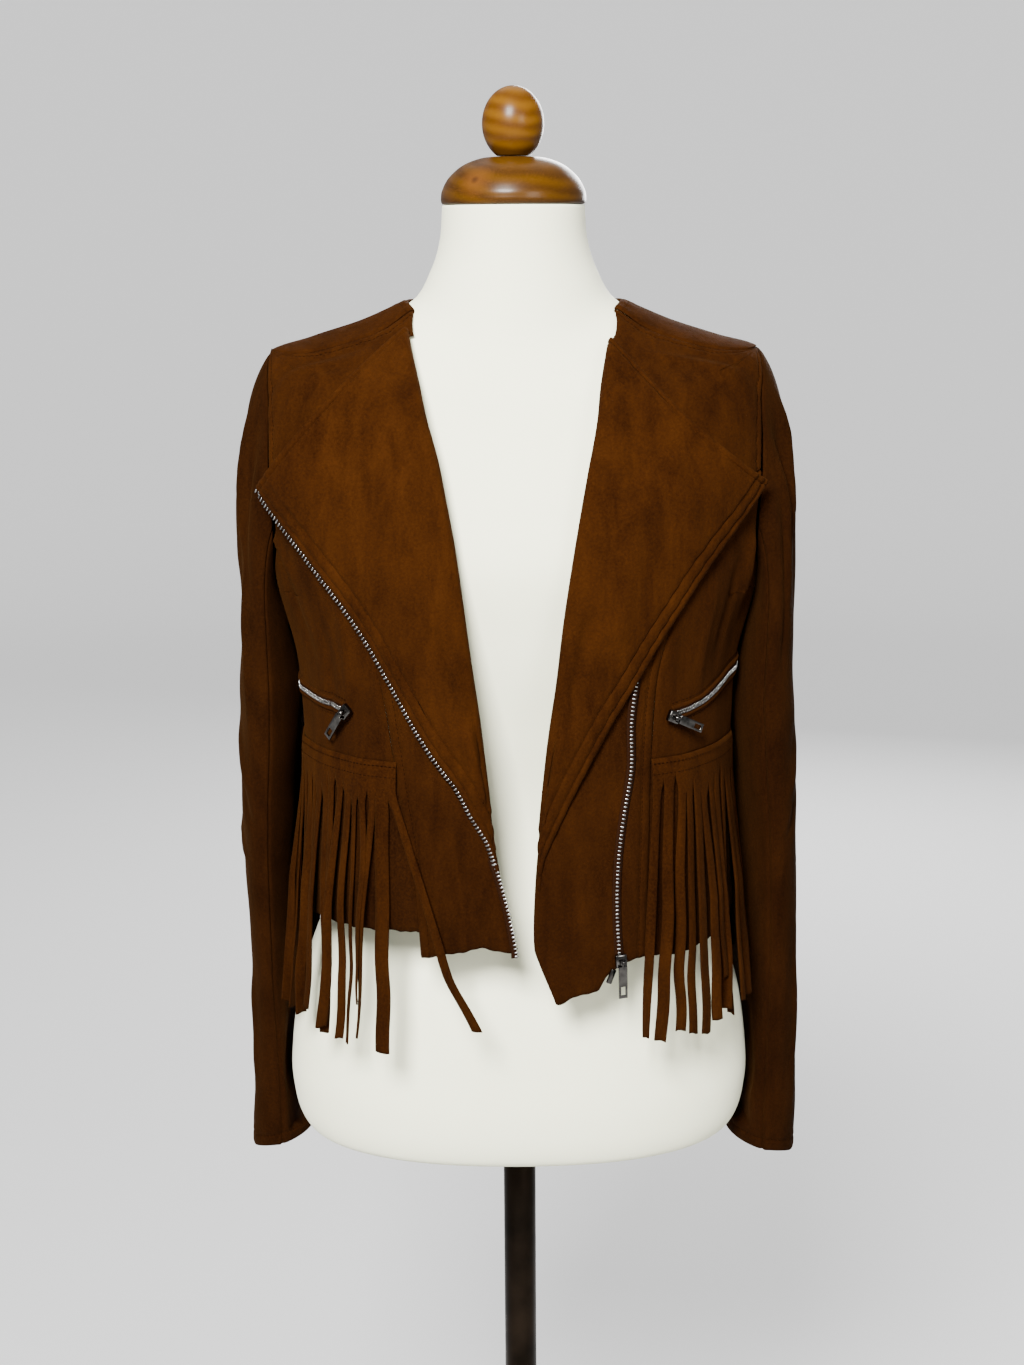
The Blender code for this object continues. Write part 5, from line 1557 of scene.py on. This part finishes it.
def wood_material(name, dark, light, knot=None):
    """Turned softwood: rings about a tilted axis, fine pores along it, a knot, and clear varnish."""
    material, tree, shader, place = shader_of(name)
    tilt = node(tree, "ShaderNodeMapping")
    tilt.inputs["Location"].default_value = (0.06, 0.11, -1.38)
    tilt.inputs["Rotation"].default_value = (math.radians(78), math.radians(20), 0)
    tree.links.new(place, tilt.inputs["Vector"])
    rings = node(tree, "ShaderNodeTexWave", wave_type="RINGS", rings_direction="Z")
    rings.inputs["Scale"].default_value = 34
    rings.inputs["Distortion"].default_value = 3.5
    rings.inputs["Detail"].default_value = 3
    rings.inputs["Detail Scale"].default_value = 0.6
    tree.links.new(tilt.outputs[0], rings.inputs["Vector"])
    stretch = node(tree, "ShaderNodeMapping")
    stretch.inputs["Scale"].default_value = (1, 1, 0.06)
    tree.links.new(tilt.outputs[0], stretch.inputs["Vector"])
    pores = remap(tree, noise(tree, stretch.outputs[0], 1500, 3, 0.6), 0.45, 0.75)
    cloud = noise(tree, place, 22, 3, 0.55, 0.5)
    band = arithmetic(tree, "MULTIPLY", rings.outputs["Fac"], 0.55)
    share = arithmetic(tree, "ADD", band, arithmetic(tree, "MULTIPLY", cloud, 0.45))
    colour = blend_colours(tree, share, (*dark, 1), (*light, 1))
    dark = arithmetic(tree, "MULTIPLY", pores, 0.35)
    colour = blend_colours(tree, dark, colour, (0.13, 0.05, 0.012, 1))
    if knot is not None:
        away = node(tree, "ShaderNodeVectorMath", operation="DISTANCE")
        tree.links.new(place, away.inputs[0])
        away.inputs[1].default_value = knot
        eye = remap(tree, away.outputs["Value"], 0.002, 0.0045, 1.0, 0.0)
        halo = remap(tree, away.outputs["Value"], 0.004, 0.016, 0.55, 0.0)
        colour = blend_colours(tree, halo, colour, (0.12, 0.042, 0.008, 1))
        colour = blend_colours(tree, eye, colour, (0.035, 0.013, 0.004, 1))
    tree.links.new(colour, shader.inputs["Base Color"])
    bump(tree, shader, share, 0.00006, 0.25)
    tree.links.new(remap(tree, share, 0, 1, 0.36, 0.27), shader.inputs["Roughness"])
    shader.inputs["Specular IOR Level"].default_value = 0.15
    shader.inputs["Coat Weight"].default_value = 0.03
    shader.inputs["Coat Roughness"].default_value = 0.12
    return material


jersey = jersey_material()
KNOT = (-0.0285, -0.042, 1.3555)
cap_wood = wood_material("cap_wood", (0.024, 0.008, 0.0005), (0.064, 0.026, 0.0014), knot=KNOT)
finial_wood = wood_material("finial_wood", (0.050, 0.016, 0.0008), (0.130, 0.054, 0.0024))
pole_bronze = marked_metal("pole_bronze", (0.022, 0.015, 0.010), (0.009, 0.0065, 0.0045), 0.30, 0.44, 30)
base_bronze = marked_metal("base_bronze", (0.022, 0.016, 0.011), (0.010, 0.007, 0.005), 0.36, 0.52, 12)

# %% Form pieces


def closed_skin(name, rings, material, node_name):
    """Rings of points from bottom to top as one closed mesh; the end rings shrink to a point each."""
    rows, columns, _ = rings.shape
    thing = mesh_from(name, rings * MM, grid_faces(rows, columns, wrap=True))
    build = bmesh.new()
    build.from_mesh(thing.data)
    bmesh.ops.remove_doubles(build, verts=build.verts, dist=1e-7)
    build.to_mesh(thing.data)
    build.free()
    thing.data.shade_smooth()
    thing.data.materials.append(material)
    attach(thing, BODY)
    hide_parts(node_name)
    return thing


# levels, and how far the torso is eased down there so that no shoulder seam sinks into it (millimetres)
SHOULDER_EASE = ([8.5, 10, 13, 14.5], [0, 0.9, 0.9, 0])


def torso_rings():
    """The form's sections, eased down under the shoulder seams, closed by rings shrunk toward the middle."""
    runs = [np.linspace(0, 5, 60), np.linspace(5, 14, 90), np.linspace(14, 19, 60)]
    level = np.unique(np.concatenate(runs))
    turn = np.linspace(0, 360, 180, endpoint=False)
    body = section_point(FORM_SECTIONS, turn, level[:, None])
    body[..., 2] -= np.interp(level, *SHOULDER_EASE)[:, None]
    shrink = np.array([0, 0.4, 0.75, 0.93, 0.985])[:, None, None]
    middle = body[[0]].mean(1, keepdims=True)
    bottom = middle + (body[[0]] - middle) * shrink
    bottom[..., 2] -= 0.8 * (shrink[..., 0] < 0.99)
    centre = body[[-1]].mean(1, keepdims=True)
    top = centre + (body[[-1]] - centre) * shrink[::-1]
    return np.concatenate([bottom, body, top])


def turned(profile, steps=128):
    """Radius and height pairs carried round the axis, from the bottom of the piece to its top."""
    profile = np.asarray(profile, float)
    angle = np.linspace(0, 2 * math.pi, steps, endpoint=False)
    radius, z = profile[:, :1], profile[:, 1:]
    return np.stack([radius * np.cos(angle), radius * np.sin(angle), z + 0 * angle], -1)


def softened(corners, count):
    """A smooth curve through profile points."""
    return smooth_rows(corners, np.linspace(0, len(corners) - 1, count))


CAP_TOP = 1371.5
cap_curve = softened([(0, CAP_TOP), (12, CAP_TOP - 0.3), (24, CAP_TOP - 1.5), (37, CAP_TOP - 6.5),
                      (47, CAP_TOP - 15), (52, CAP_TOP - 24), (53, CAP_TOP - 30)], 48)
cap_rim = [(52.7, 1339.2), (52.0, 1337.9), (50.5, 1337.4), (30, 1337.4), (0, 1337.4)]
finial_foot = CAP_TOP + 0.3
arc = np.radians(np.linspace(0, 148, 60))
egg = np.stack([22.5 * np.sin(arc), finial_foot + 22.5 + 26.5 * np.cos(arc)], -1)
closed_skin("form_torso", torso_rings(), jersey, "torso")
closed_skin("form_cap", turned(np.concatenate([cap_curve, cap_rim])[::-1]), cap_wood, "neck_cap")
closed_skin("form_finial", turned(np.concatenate([egg, [(11.8, finial_foot), (0, finial_foot)]])[::-1]),
            finial_wood, "finial")
closed_skin("form_pole", turned([(0, 14.4), (12.6, 14.4), (13, 14.9), (13, 300), (13, 679.4), (12.6, 679.9),
                                 (0, 679.9)], 96), pole_bronze, "pole")
base_profile = [(0, 0), (149.2, 0), (149.8, 0.4), (150, 1.2), (150, 11), (149.1, 13.1), (147, 14), (60, 14),
                (26, 14), (22.2, 15.2), (20.4, 17.6), (20, 21), (20, 49), (19.5, 49.8), (18.6, 50),
                (14.2, 50), (13.4, 49.4), (13.3, 48), (13.3, 14), (0, 14)]
closed_skin("form_base", turned(base_profile, 160), base_bronze, "base")
print("form: torso, cap, finial, pole and base")
